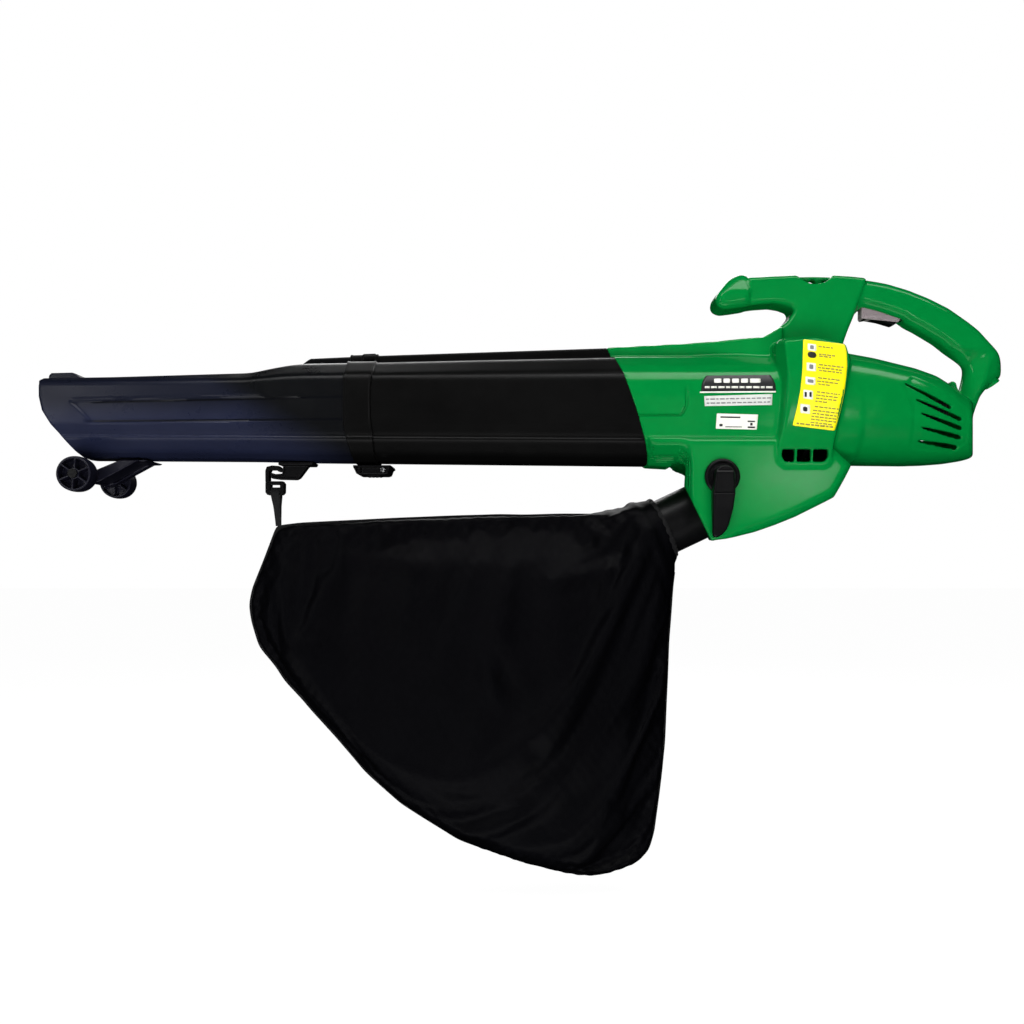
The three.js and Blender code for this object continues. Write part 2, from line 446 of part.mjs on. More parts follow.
const neckInner = turnAlong([[20, 0], [20, 34.6], [42.5, 34.6], [43.4, 36.2], [58, 36.4], [118, 49.6], [118, 0]], PORT, PORT_DIR, 20);
const beyondMouth = turnAlong([[-60, 0], [-60, 120], [33, 120], [33, 0]], PORT, PORT_DIR, 12);
let bag = cut(join(cut(pillow(1, BAG_DEPTH), beyondMouth), neckOuter), pillow(0.982, BAG_DEPTH - BAG_WALL), neckInner);
const bagLeft = cut(bag, box(-800, 0, -0.15, 200, -900, 0));
const bagRight = cut(bag, box(-800, 0, -200, 0.15, -900, 0));

const hook = join(
  plate([[-634, -217.8], [-596, -217.8], [-596, -214.6], [-634, -214.6]], -16, 16),
  plate([[-631, -215], [-600, -215], [-616, -233.4], [-636, -233.4], [-646, -232], [-646, -226], [-640, -228.5], [-631, -227]], -4, 4));
const clip = cut(plate([[-653, -220], [-633.5, -220], [-632, -224], [-637.6, -224], [-639.4, -222.8], [-648.6, -222.8], [-648.6, -236.2], [-630.6, -236.2], [-630.6, -252.6], [-653, -252.6]], -7, 7),
  plate([[-646.5, -240.6], [-635.4, -240.6], [-635.4, -247.4], [-646.5, -247.4]], -20, 20));
const strap = plate([[-646.6, -253.2], [-635.2, -253.2], [-636.2, -287.6], [-641.6, -287.6]], -12, 12);

// ---------------------------------------------------------------- tube latch and wheels
const latchHousing = cut(plate([[-546, -219.3], [-501, -219.3], [-504.5, -229], [-542, -229]], -22, 22, 1.2),
  box(-532, -514, -9, 9, -250, -221.5));
const latchButton = box(-531.6, -514.4, -8.6, 8.6, -231.5, -225.2);
const latchScrew = cylY(3, -25.2, -22.4, -510, -224, 14);
let bracket = join(
  plate([[-816, -216], [-766, -215.6], [-766, -212.9], [-816, -212.6]], -26, 26),
  plate([[-814, -214], [-796, -214], [-846, -240], [-856, -240], [-858, -229], [-845, -226]], -30, -25),
  plate([[-814, -214], [-796, -214], [-846, -240], [-856, -240], [-858, -229], [-845, -226]], 25, 30),
  plate([[-814, -214], [-806, -214], [-848, -234], [-852, -230]], -26, 26),
  cylY(7.5, -46, 46, WHEEL_X, WHEEL_Z, 14));
bracket = cut(bracket, cylY(AXLE_R + GAP, -60, 60, WHEEL_X, WHEEL_Z, 12));
const axle = cylY(AXLE_R, -73.4, 73.4, WHEEL_X, WHEEL_Z, 12);
function wheel(s) {
  const y0 = s < 0 ? -WHEEL_OUT : WHEEL_OUT - WHEEL_W, y1 = y0 + WHEEL_W;
  let w = cut(cylY(WHEEL_R, y0, y1, WHEEL_X, WHEEL_Z, 24), cylY(WHEEL_R - 2.4, y0 - 1, y1 + 1, WHEEL_X, WHEEL_Z, 24));
  const web = cylY(WHEEL_R - 1, (y0 + y1) / 2 - 1.5, (y0 + y1) / 2 + 1.5, WHEEL_X, WHEEL_Z, 24);
  w = w.add(web).add(cylY(6.4, y0, y1, WHEEL_X, WHEEL_Z, 12));
  for (let i = 0; i < 6; i++) {
    const a = i * Math.PI / 3 + 0.3, c = Math.cos(a), q = Math.sin(a);
    const p = [[5, -1], [WHEEL_R - 1.5, -1], [WHEEL_R - 1.5, 1], [5, 1]].map(([u, v]) => [WHEEL_X + u * c - v * q, WHEEL_Z + u * q + v * c]);
    w = w.add(plate(p, y0 + 1, y1 - 1));
  }
  return cut(w, cylY(AXLE_R + 0.2, -90, 90, WHEEL_X, WHEEL_Z, 12));
}
const axleCap = (s) => cut(cylY(5.4, Math.min(s * 72.9, s * 75.3), Math.max(s * 72.9, s * 75.3), WHEEL_X, WHEEL_Z, 12),
  cylY(AXLE_R + 0.05, Math.min(s * 70, s * 73.9), Math.max(s * 70, s * 73.9), WHEEL_X, WHEEL_Z, 12));

// ---------------------------------------------------------------- the assembly
const GREEN = [0x0a8a42, 0.28, 0], BLACK = [0x15161c, 0.32, 0], SATIN = [0x101113, 0.5, 0], STEEL = [0x9a9da1, 0.35, 0.9];
const FABRIC = [0x0b0b0d, 0.9, 0], TAUPE = [0xa59b94, 0.5, 0], COPPER = [0xb4693a, 0.4, 0.9], IRON = [0x55585c, 0.55, 0.8];
const object = new THREE.Group();
object.name = 'leaf_vacuum_mulcher';
function add(name, manifold, [color, roughness, metalness]) {
  const m = new THREE.Mesh(geometryOf(manifold), new THREE.MeshStandardMaterial({ color, roughness, metalness }));
  m.name = name;
  object.add(m);
}
add('nozzle_tube', nozzle, BLACK);
add('rear_tube', rearTube, SATIN);
add('latch_housing', latchHousing, SATIN);
add('latch_button', latchButton, SATIN);
add('latch_screw', latchScrew, STEEL);
add('bag_hook', hook, SATIN);
add('wheel_bracket', bracket, SATIN);
add('wheel_axle', axle, STEEL);
add('wheel_left', wheel(-1), SATIN);
add('wheel_right', wheel(1), SATIN);
add('axle_cap_left', axleCap(-1), SATIN);
add('axle_cap_right', axleCap(1), SATIN);
add('housing_left', housingLeft, GREEN);
add('housing_right', housingRight, GREEN);
SCREWS.forEach(([x, z, seat, tip], i) => add('housing_screw_' + (i + 1),
  join(cylY(2, tip, seat + 1, x, z, 12), cylY(3.8, seat + 0.3, seat + 3.3, x, z, 14)), STEEL));
add('inlet_ring', inletRing, SATIN);
add('impeller', impeller, [0x2a2b2e, 0.5, 0]);
add('impeller_washer', washer, STEEL);
add('impeller_nut', nut, STEEL);
add('rotor_shaft', shaft, STEEL);
add('fan_bulkhead', bulkhead, SATIN);
add('bearing_front', bearingFront, STEEL);
add('bearing_rear', bearingRear, STEEL);
add('cooling_fan', coolingFan, SATIN);
add('rotor_core', rotorCore, IRON);
add('commutator', commutator, COPPER);
add('stator_core', stator, IRON);
add('field_coil_upper', coil(1), COPPER);
add('field_coil_lower', coil(-1), COPPER);
add('brush_holder_left', holder(-1), [0xb08a3c, 0.4, 0.9]);
add('brush_holder_right', holder(1), [0xb08a3c, 0.4, 0.9]);
add('brush_left', brush(-1), [0x202020, 0.7, 0]);
add('brush_right', brush(1), [0x202020, 0.7, 0]);
add('rear_bearing_bracket', rearBracket, SATIN);
add('trigger', trigger, TAUPE);
add('trigger_pin', triggerPin, STEEL);
add('trigger_spring', triggerSpring, STEEL);
add('switch_body', switchBody, SATIN);
add('capacitor', capacitor, [0xc9b458, 0.5, 0]);
add('mains_inlet', mainsInlet, SATIN);
add('selector_lever', lever, SATIN);
add('selector_shaft', leverShaft, STEEL);
add('diverter_flap', flap, SATIN);
add('bag_spigot', spigot, SATIN);
add('bag_left', bagLeft, FABRIC);
add('bag_right', bagRight, FABRIC);
add('bag_clip', clip, SATIN);
add('bag_strap', strap, FABRIC);

export default object;
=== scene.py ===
# Leaf vacuum mulcher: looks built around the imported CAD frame. Metres, +Z up, nozzle towards -X.
import math
import bmesh
import bpy
import numpy as np
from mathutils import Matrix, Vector
from mathutils.bvhtree import BVHTree


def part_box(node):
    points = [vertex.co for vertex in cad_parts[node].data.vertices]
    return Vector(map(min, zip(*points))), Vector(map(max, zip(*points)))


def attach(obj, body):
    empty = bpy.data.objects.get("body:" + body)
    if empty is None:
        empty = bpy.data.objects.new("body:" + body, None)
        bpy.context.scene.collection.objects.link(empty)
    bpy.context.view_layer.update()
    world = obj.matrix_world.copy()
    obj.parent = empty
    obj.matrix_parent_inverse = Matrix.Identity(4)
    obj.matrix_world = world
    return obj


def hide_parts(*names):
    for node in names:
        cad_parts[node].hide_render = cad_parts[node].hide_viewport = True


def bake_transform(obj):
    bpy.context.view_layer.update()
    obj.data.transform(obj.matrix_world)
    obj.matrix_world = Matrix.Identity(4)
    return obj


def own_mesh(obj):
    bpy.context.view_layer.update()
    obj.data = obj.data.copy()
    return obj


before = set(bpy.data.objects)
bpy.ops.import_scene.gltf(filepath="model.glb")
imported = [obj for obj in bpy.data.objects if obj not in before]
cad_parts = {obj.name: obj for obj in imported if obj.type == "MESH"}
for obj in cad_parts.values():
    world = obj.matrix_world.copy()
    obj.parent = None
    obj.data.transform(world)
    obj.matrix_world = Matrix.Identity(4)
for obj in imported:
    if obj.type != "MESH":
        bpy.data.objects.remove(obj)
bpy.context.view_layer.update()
MM = 0.001
scene = bpy.context.scene
rng = np.random.default_rng(7)

# ------------------------------------------------------------------ dimensions (mm, as in the CAD)
AXIS_Z = -157.0
COLLAR_F, COLLAR_R = -551.0, -517.7
PORT = np.array([-138.0, 0.0, -273.6])
PORT_DIR = np.array([-0.9036, 0.0, -0.4284])
PORT_DIR = PORT_DIR / np.linalg.norm(PORT_DIR)
SEL = (-120.0, -236.0)
WHEEL = (-853.9, -232.9)
INLET_AT, INLET_DIR = np.array([217.5, 0, -119.5]), np.array([0.59, 0, -0.807])
BOUND = np.array([(-249, -60), (-245.4, -77.4), (-239.4, -90.6), (-232.2, -111), (-216.6, -156.6), (-198.6, -219), (-192, -240)], float)

# ------------------------------------------------------------------ camera, light, stage
cam = bpy.data.objects.new("camera", bpy.data.cameras.new("camera"))
scene.collection.objects.link(cam)
cam.location = (-0.3582, -1.230, -0.333)
cam.rotation_euler = (math.radians(90), 0, 0)
cam.data.sensor_width = 36
cam.data.lens = 36.04
cam.data.shift_y = 50 / 1024
cam.data.clip_start, cam.data.clip_end = 0.05, 60
scene.camera = cam
scene.view_settings.view_transform = "Standard"
scene.view_settings.look = "None"

world = bpy.data.worlds.new("studio")
scene.world = world
world.use_nodes = True
wt = world.node_tree
bg = wt.nodes["Background"]
bg.inputs["Color"].default_value = (1, 1, 1, 1)
bg.inputs["Strength"].default_value = 1.0


def area_light(name, loc, target, size, size_y, power, color=(1, 1, 1)):
    d = bpy.data.lights.new(name, "AREA")
    d.shape = "RECTANGLE"
    d.size, d.size_y, d.energy, d.color = size, size_y, power, color
    o = bpy.data.objects.new(name, d)
    scene.collection.objects.link(o)
    o.location = loc
    o.rotation_mode = "QUATERNION"
    o.rotation_quaternion = (Vector(target) - Vector(loc)).to_track_quat("-Z", "Y")
    return o


# the white surround is seen by the camera; the soft boxes light the object
world.cycles_visibility.glossy = False
world.cycles_visibility.diffuse = False
bg.inputs["Strength"].default_value = 1.0
L = [area_light("top", (-0.45, -0.7, 1.5), (-0.35, 0, -0.2), 1.8, 0.8, 29),
     area_light("front", (-0.5, -2.6, 0.25), (-0.35, 0, -0.25), 2.6, 1.2, 29),
     area_light("low_fill", (-0.4, -1.5, -1.0), (-0.35, 0, -0.25), 2.4, 0.7, 32),
     area_light("rear", (-0.2, 1.7, 1.1), (-0.3, 0, -0.25), 1.8, 0.9, 24)]
for o in L[:3]:
    o.visible_glossy = False
# narrow boxes that are only seen in the plastic
G = [area_light("gloss_high", (0.0, -0.75, 1.2), (-0.1, 0, -0.1), 2.4, 0.45, 30),
     area_light("gloss_scroll", (0.33, -1.36, -0.11), (-0.035, -0.066, -0.225), 0.2, 0.16, 0.9),
     area_light("gloss_left", (-1.5, -1.2, 0.1), (-0.3, 0, -0.2), 0.12, 0.9, 4.5),
     area_light("gloss_low", (-0.7, -0.62, -1.1), (-0.6, 0, -0.2), 2.0, 0.45, 9)]
for o in G:
    o.visible_diffuse = False

# ------------------------------------------------------------------ materials
def srgb(r, g, b):
    f = lambda c: ((c / 255) / 12.92) if c / 255 <= 0.04045 else (((c / 255) + 0.055) / 1.055) ** 2.4
    return (f(r), f(g), f(b))


class Mat:
    """Small helper around a node tree."""

    def __init__(self, name):
        self.m = bpy.data.materials.new(name)
        self.m.use_nodes = True
        self.t = self.m.node_tree
        self.n = self.t.nodes
        self.bsdf = self.n["Principled BSDF"]
        self.coord = self.n.new("ShaderNodeTexCoord")
        self.height = None

    def node(self, kind, **kw):
        x = self.n.new(kind)
        for k, v in kw.items():
            setattr(x, k, v)
        return x

    def link(self, a, b):
        self.t.links.new(a, b)

    def mapped(self, scale=(1, 1, 1), rot=(0, 0, 0)):
        x = self.node("ShaderNodeMapping")
        x.inputs["Scale"].default_value = scale
        x.inputs["Rotation"].default_value = rot
        self.link(self.coord.outputs["Object"], x.inputs["Vector"])
        return x.outputs["Vector"]

    def noise(self, scale, detail=3.0, rough=0.5, vector=None, distortion=0.0):
        x = self.node("ShaderNodeTexNoise")
        x.inputs["Scale"].default_value = scale
        x.inputs["Detail"].default_value = detail
        x.inputs["Roughness"].default_value = rough
        x.inputs["Distortion"].default_value = distortion
        self.link(vector or self.coord.outputs["Object"], x.inputs["Vector"])
        return x.outputs["Fac"]

    def ramp(self, fac, stops):
        x = self.node("ShaderNodeValToRGB")
        e = x.color_ramp.elements
        while len(e) > 1:
            e.remove(e[-1])
        e[0].position, e[0].color = stops[0][0], (*stops[0][1], 1)
        for p, c in stops[1:]:
            q = e.new(p)
            q.color = (*c, 1)
        self.link(fac, x.inputs["Fac"])
        return x.outputs["Color"]

    def span(self, fac, lo, hi, a=0.3, b=0.7):
        x = self.node("ShaderNodeMapRange")
        x.inputs["From Min"].default_value = a
        x.inputs["From Max"].default_value = b
        x.inputs["To Min"].default_value = lo
        x.inputs["To Max"].default_value = hi
        self.link(fac, x.inputs["Value"])
        return x.outputs["Result"]

    def mix(self, fac, a, b):
        x = self.node("ShaderNodeMix", data_type="RGBA")
        if isinstance(fac, float):
            x.inputs["Factor"].default_value = fac
        else:
            self.link(fac, x.inputs["Factor"])
        for s, v in (("A", a), ("B", b)):
            sock = [i for i in x.inputs if i.name == s and i.type == "RGBA"][0]
            if isinstance(v, tuple):
                sock.default_value = (*v, 1)
            else:
                self.link(v, sock)
        return [o for o in x.outputs if o.type == "RGBA"][0]

    def math(self, op, a, b=None):
        x = self.node("ShaderNodeMath", operation=op)
        for i, v in enumerate((a, b)):
            if v is None:
                continue
            if isinstance(v, (int, float)):
                x.inputs[i].default_value = v
            else:
                self.link(v, x.inputs[i])
        return x.outputs[0]

    def bump(self, height, strength, distance):
        x = self.node("ShaderNodeBump")
        x.inputs["Strength"].default_value = strength
        x.inputs["Distance"].default_value = distance
        self.link(height, x.inputs["Height"])
        if self.height is not None:
            self.link(self.height, x.inputs["Normal"])
        self.height = x.outputs["Normal"]
        return self

    def finish(self, color, rough, **const):
        if isinstance(color, tuple):
            self.bsdf.inputs["Base Color"].default_value = (*color, 1)
        else:
            self.link(color, self.bsdf.inputs["Base Color"])
        if isinstance(rough, float):
            self.bsdf.inputs["Roughness"].default_value = rough
        else:
            self.link(rough, self.bsdf.inputs["Roughness"])
        for k, v in const.items():
            self.bsdf.inputs[k.replace("_", " ")].default_value = v
        if self.height is not None:
            self.link(self.height, self.bsdf.inputs["Normal"])
        return self.m


def scaled(c, k):
    return tuple(min(1.0, x * k) for x in c)


def plastic(name, base, rough, spec, vary=0.12, grain=2600, grain_d=0.00002, blotch=9.0, orange=0.0, coat=0.0, scuffs=0.07):
    m = Mat(name)
    n1 = m.noise(blotch, 4, 0.6)
    n2 = m.noise(70, 3, 0.6)
    col = m.mix(m.span(n1, 0.0, 1.0), scaled(base, 1 - vary), scaled(base, 1 + vary))
    col = m.mix(m.span(n2, 0.0, 0.35, 0.45, 0.75), col, scaled(base, 1.25))
    scuff = m.noise(38, 6, 0.72, m.mapped((1, 1, 3)))
    r = m.math("ADD", m.span(m.noise(24, 5, 0.65), rough - 0.05, rough + 0.06), m.span(scuff, 0.0, scuffs, 0.56, 0.72))
    m.bump(m.noise(grain, 2, 0.6), 0.35, grain_d)
    if orange:
        m.bump(m.noise(140, 2, 0.5), 0.3, orange)
    return m.finish(col, r, Specular_IOR_Level=spec, Coat_Weight=coat, Coat_Roughness=0.12)


GREEN_C = srgb(0, 134, 62)
M_GREEN = plastic("green_plastic", (0.0004, 0.19, 0.033), 0.15, 0.14, 0.05, 3200, 0.000012, 6.0, orange=0.00004)
M_NOZZLE = plastic("nozzle_plastic", srgb(27, 31, 51), 0.3, 0.13, 0.1, 2400, 0.00003, 7.0, scuffs=0.02)
M_TUBE = plastic("tube_plastic", srgb(7, 7, 7), 0.36, 0.09, 0.16, 2200, 0.00004, 7.0, scuffs=0.04)
M_BLACK = plastic("black_plastic", srgb(9, 9, 10), 0.36, 0.12, 0.16, 2000, 0.00004, 12.0)
M_WHEEL = plastic("wheel_plastic", srgb(18, 18, 28), 0.34, 0.2, 0.12, 2000, 0.00003, 14.0, scuffs=0.03)
M_TRIGGER = plastic("trigger_plastic", srgb(146, 134, 138), 0.45, 0.3, 0.08, 2000, 0.00003, 30.0)


# painted shade on the nozzle: the base colour fades to near-black towards the collar and darkens towards the top, set
# by position
t = M_NOZZLE.node_tree
pb = t.nodes["Principled BSDF"]
src = pb.inputs["Base Color"].links[0].from_socket
tc = t.nodes.new("ShaderNodeTexCoord")
sx = t.nodes.new("ShaderNodeSeparateXYZ")
collar_shade_ramp = t.nodes.new("ShaderNodeMapRange")
collar_shade_ramp.inputs["From Min"].default_value, collar_shade_ramp.inputs["From Max"].default_value = -0.985, -0.875
collar_shade_ramp.interpolation_type = "SMOOTHSTEP"
painted_shade_mix = t.nodes.new("ShaderNodeMix")
painted_shade_mix.data_type = "RGBA"
t.links.new(tc.outputs["Object"], sx.inputs[0])
ma = t.nodes.new("ShaderNodeMath")
ma.operation = "MULTIPLY_ADD"
ma.inputs[1].default_value = 1.7
t.links.new(sx.outputs["Z"], ma.inputs[0])
t.links.new(sx.outputs["X"], ma.inputs[2])
t.links.new(ma.outputs[0], collar_shade_ramp.inputs["Value"])
# painted shade: darker towards the top of the nozzle
top_shade_ramp = t.nodes.new("ShaderNodeMapRange")
top_shade_ramp.inputs["From Min"].default_value, top_shade_ramp.inputs["From Max"].default_value = -0.174, -0.143
top_shade_ramp.inputs["To Max"].default_value = 0.62
top_shade_ramp.interpolation_type = "SMOOTHSTEP"
t.links.new(sx.outputs["Z"], top_shade_ramp.inputs["Value"])
mm = t.nodes.new("ShaderNodeMath")
mm.operation = "MAXIMUM"
t.links.new(collar_shade_ramp.outputs["Result"], mm.inputs[0])
t.links.new(top_shade_ramp.outputs["Result"], mm.inputs[1])
t.links.new(mm.outputs[0], painted_shade_mix.inputs["Factor"])
ab = [i for i in painted_shade_mix.inputs if i.type == "RGBA"]
t.links.new(src, ab[0])
# near-black that the painted shade fades to
ab[1].default_value = (*srgb(9, 10, 12), 1)
col = [o for o in painted_shade_mix.outputs if o.type == "RGBA"][0]
# painted shade: dark lines along the bottom edge and just under the top edge of the recessed side panel, standing in
# for the shade in its grooves
for slope, level, half in ((0.0063, -0.1660, 0.0008), (0.0204, -0.1327, 0.0006)):
    m1 = t.nodes.new("ShaderNodeMath")
    m1.operation = "MULTIPLY_ADD"
    m1.inputs[1].default_value = -slope
    t.links.new(sx.outputs["X"], m1.inputs[0])
    t.links.new(sx.outputs["Z"], m1.inputs[2])
    m2 = t.nodes.new("ShaderNodeMath")
    m2.operation = "SUBTRACT"
    m2.inputs[1].default_value = level
    t.links.new(m1.outputs[0], m2.inputs[0])
    m3 = t.nodes.new("ShaderNodeMath")
    m3.operation = "ABSOLUTE"
    t.links.new(m2.outputs[0], m3.inputs[0])
    groove_shade_band = t.nodes.new("ShaderNodeMapRange")
    groove_shade_band.inputs["From Min"].default_value, groove_shade_band.inputs["From Max"].default_value = half, half + 0.0009
    groove_shade_band.inputs["To Min"].default_value, groove_shade_band.inputs["To Max"].default_value = 0.85, 0.0
    t.links.new(m3.outputs[0], groove_shade_band.inputs["Value"])
    m5 = t.nodes.new("ShaderNodeMapRange")
    m5.inputs["From Min"].default_value, m5.inputs["From Max"].default_value = -0.85, -0.835
    t.links.new(sx.outputs["X"], m5.inputs["Value"])
    m6 = t.nodes.new("ShaderNodeMath")
    m6.operation = "MULTIPLY"
    t.links.new(groove_shade_band.outputs["Result"], m6.inputs[0])
    t.links.new(m5.outputs["Result"], m6.inputs[1])
    m7 = t.nodes.new("ShaderNodeMix")
    m7.data_type = "RGBA"
    t.links.new(m6.outputs[0], m7.inputs["Factor"])
    c7 = [i for i in m7.inputs if i.type == "RGBA"]
    t.links.new(col, c7[0])
    # colour of the painted groove shade
    c7[1].default_value = (*srgb(4, 5, 9), 1)
    col = [o for o in m7.outputs if o.type == "RGBA"][0]
t.links.new(col, pb.inputs["Base Color"])


def metal(name, base, rough, streak=(1, 60, 60), metallic=1.0):
    m = Mat(name)
    brushed = m.noise(28, 5, 0.7, m.mapped(streak))
    col = m.mix(m.span(brushed, 0.0, 1.0), scaled(base, 0.78), scaled(base, 1.15))
    col = m.mix(m.span(m.noise(160, 4, 0.7), 0.0, 0.5, 0.6, 0.8), col, scaled(base, 0.45))
    r = m.span(m.noise(90, 4, 0.6), rough - 0.08, rough + 0.12)
    m.bump(brushed, 0.3, 0.00004)
    return m.finish(col, r, Metallic=metallic)


M_STEEL = metal("steel", (0.56, 0.57, 0.58), 0.3)
M_IRON = metal("iron", (0.17, 0.17, 0.18), 0.5, (70, 1, 1))
M_COPPER = metal("copper", (0.66, 0.27, 0.12), 0.32, (1, 400, 400))
M_BRASS = metal("brass", (0.72, 0.52, 0.2), 0.33)
M_CARBON = plastic("carbon", srgb(38, 38, 40), 0.62, 0.3, 0.3, 1800, 0.00008, 60.0)
M_FILM = plastic("film", srgb(196, 168, 66), 0.3, 0.5, 0.08, 900, 0.00004, 40.0)


def woven(name, base, rough, pitch, depth, sheen, spec=0.15, crumple=0.0):
    """Plain weave from two crossed waves, with slubs, mottled wear and fine fuzz."""
    m = Mat(name)
    s = 2 * math.pi / pitch / (2 * math.pi) * 1.0
    wa = m.node("ShaderNodeTexWave", wave_type="BANDS", bands_direction="X")
    wb = m.node("ShaderNodeTexWave", wave_type="BANDS", bands_direction="Z")
    for w in (wa, wb):
        w.inputs["Scale"].default_value = s / 3.0
        w.inputs["Distortion"].default_value = 0.35
        w.inputs["Detail"].default_value = 1.5
        m.link(m.coord.outputs["Object"], w.inputs["Vector"])
    weave = m.math("MAXIMUM", wa.outputs["Fac"], wb.outputs["Fac"])
    slub = m.noise(420, 4, 0.6, m.mapped((1, 1, 0.25)))
    blot = m.noise(9, 5, 0.62)
    col = m.mix(m.span(blot, 0.0, 1.0), scaled(base, 0.7), scaled(base, 1.5))
    col = m.mix(m.span(weave, 0.0, 0.5, 0.2, 0.9), col, scaled(base, 2.1))
    col = m.mix(m.span(slub, 0.0, 0.4, 0.55, 0.8), col, scaled(base, 2.6))
    r = m.math("ADD", m.span(blot, rough - 0.06, rough + 0.05), m.span(slub, -0.03, 0.04))
    m.bump(weave, 0.55, depth)
    m.bump(slub, 0.25, depth * 0.6)
    if crumple:
        m.bump(m.noise(26, 6, 0.62, None, 0.6), 0.6, crumple)
    return m.finish(col, r, Specular_IOR_Level=spec, Sheen_Weight=sheen, Sheen_Roughness=0.45)


M_FABRIC = woven("bag_fabric", srgb(2, 2, 3), 0.5, 0.0012, 0.00008, 0.0, 0.035, crumple=0.0008)
M_WEB = woven("webbing", srgb(15, 15, 16), 0.7, 0.0022, 0.0003, 0.1)
M_BINDING = woven("binding", srgb(9, 9, 10), 0.7, 0.0012, 0.0002, 0.06)


def flat_print(name, base, rough, spec=0.4):
    m = Mat(name)
    col = m.mix(m.span(m.noise(60, 5, 0.65), 0.0, 1.0), scaled(base, 0.93), scaled(base, 1.05))
    r = m.span(m.noise(180, 4, 0.6), rough - 0.05, rough + 0.08)
    m.bump(m.noise(900, 3, 0.6), 0.2, 0.00002)
    return m.finish(col, r, Specular_IOR_Level=spec)


M_YELLOW = flat_print("label_yellow", srgb(250, 236, 8), 0.34)
M_PAPER = flat_print("label_paper", srgb(232, 232, 222), 0.4)
M_SILVER = flat_print("label_silver", srgb(206, 208, 204), 0.35)
M_INK = flat_print("label_ink", srgb(24, 24, 26), 0.4)
M_SOFTINK = flat_print("label_soft_ink", srgb(150, 140, 60), 0.4)
M_GREYINK = flat_print("label_grey_ink", srgb(120, 122, 122), 0.4)

m = Mat("stage_floor")
n = m.noise(3, 4, 0.6)
M_FLOOR = m.finish(m.mix(m.span(n, 0.0, 1.0), (0.05, 0.05, 0.05), (0.06, 0.06, 0.06)), m.span(n, 0.85, 0.95), Specular_IOR_Level=0.0, Emission_Color=(1, 1, 1, 1), Emission_Strength=0.985)

floor_mesh = bpy.data.meshes.new("floor")
floor_mesh.from_pydata([(-14, -14, -0.722), (14, -14, -0.722), (14, 14, -0.722), (-14, 14, -0.722)], [], [(0, 1, 2, 3)])
floor = bpy.data.objects.new("floor", floor_mesh)
scene.collection.objects.link(floor)
floor.data.materials.append(M_FLOOR)
floor.visible_glossy = False
floor.visible_diffuse = False
floor.visible_shadow = False

# ------------------------------------------------------------------ mesh helpers
def make(name, verts_mm, faces, mats, body=None, smooth=30, replaces=()):
    """A mesh object from millimetre vertices; faces is an int array or a list of tuples."""
    me = bpy.data.meshes.new(name)
    v = np.asarray(verts_mm, float) * MM
    f = faces if isinstance(faces, list) else np.asarray(faces).tolist()
    me.from_pydata(v.tolist(), [], f)
    me.validate()
    o = bpy.data.objects.new(name, me)
    scene.collection.objects.link(o)
    for mt in mats if isinstance(mats, (list, tuple)) else [mats]:
        me.materials.append(mt)
    shade(o, smooth)
    if body:
        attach(o, body)
    if replaces:
        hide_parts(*replaces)
    return o


def shade(o, angle=30):
    me = o.data
    me.polygons.foreach_set("use_smooth", np.ones(len(me.polygons), bool))
    if angle < 180:
        me.set_sharp_from_angle(angle=math.radians(angle))
    me.update()


def outward(o):
    """Turn a closed mesh's faces outward."""
    bm = bmesh.new()
    bm.from_mesh(o.data)
    bmesh.ops.recalc_face_normals(bm, faces=bm.faces)
    bm.to_mesh(o.data)
    bm.free()
    o.data.update()


def sd_poly(px, pz, P):
    """Signed distance to a closed outline, negative inside."""
    P = np.asarray(P, float)
    d = np.full(px.shape, 1e12)
    s = np.ones(px.shape)
    n = len(P)
    for i in range(n):
        a, b = P[i], P[i - 1]
        ex, ez = b[0] - a[0], b[1] - a[1]
        wx, wz = px - a[0], pz - a[1]
        t = np.clip((wx * ex + wz * ez) / (ex * ex + ez * ez), 0, 1)
        bx, bz = wx - ex * t, wz - ez * t
        d = np.minimum(d, bx * bx + bz * bz)
        c1, c2, c3 = pz >= a[1], pz < b[1], ex * wz > ez * wx
        flip = (c1 & c2 & c3) | (~c1 & ~c2 & ~c3)
        s = np.where(flip, -s, s)
    return (s * np.sqrt(d)).astype(np.float32)


def sd_seg(px, pz, a, b):
    ex, ez = b[0] - a[0], b[1] - a[1]
    t = np.clip(((px - a[0]) * ex + (pz - a[1]) * ez) / (ex * ex + ez * ez), 0, 1)
    return np.hypot(px - a[0] - ex * t, pz - a[1] - ez * t), t


def blur2(d, sigma):
    r = max(1, int(math.ceil(2.5 * sigma)))
    k = np.exp(-0.5 * (np.arange(-r, r + 1) / sigma) ** 2)
    k /= k.sum()
    for ax in (0, 1):
        p = np.pad(d, [(r, r) if i == ax else (0, 0) for i in (0, 1)], mode="reflect", reflect_type="odd")
        d = sum(k[i] * np.take(p, range(i, i + d.shape[ax]), axis=ax) for i in range(2 * r + 1))
    return d.astype(np.float32)


def smin(a, b, k):
    if k <= 0:
        return np.minimum(a, b)
    h = np.clip(0.5 + 0.5 * (b - a) / k, 0, 1)
    return b * (1 - h) + a * h - k * h * (1 - h)


def smax(a, b, k):
    return -smin(-a, -b, k)


def rounded_plate(d2, ay, half, r):
    """A plate of half thickness half with its edges rounded to r. d2 is (nx, nz), ay is |y|."""
    r = r[:, None, :] if isinstance(r, np.ndarray) else r
    a = d2[:, None, :] + r
    b = ay[None, :, None] - (half[:, None, :] if isinstance(half, np.ndarray) else half) + r
    return np.sqrt(np.maximum(a, 0) ** 2 + np.maximum(b, 0) ** 2) + np.minimum(np.maximum(a, b), 0) - r


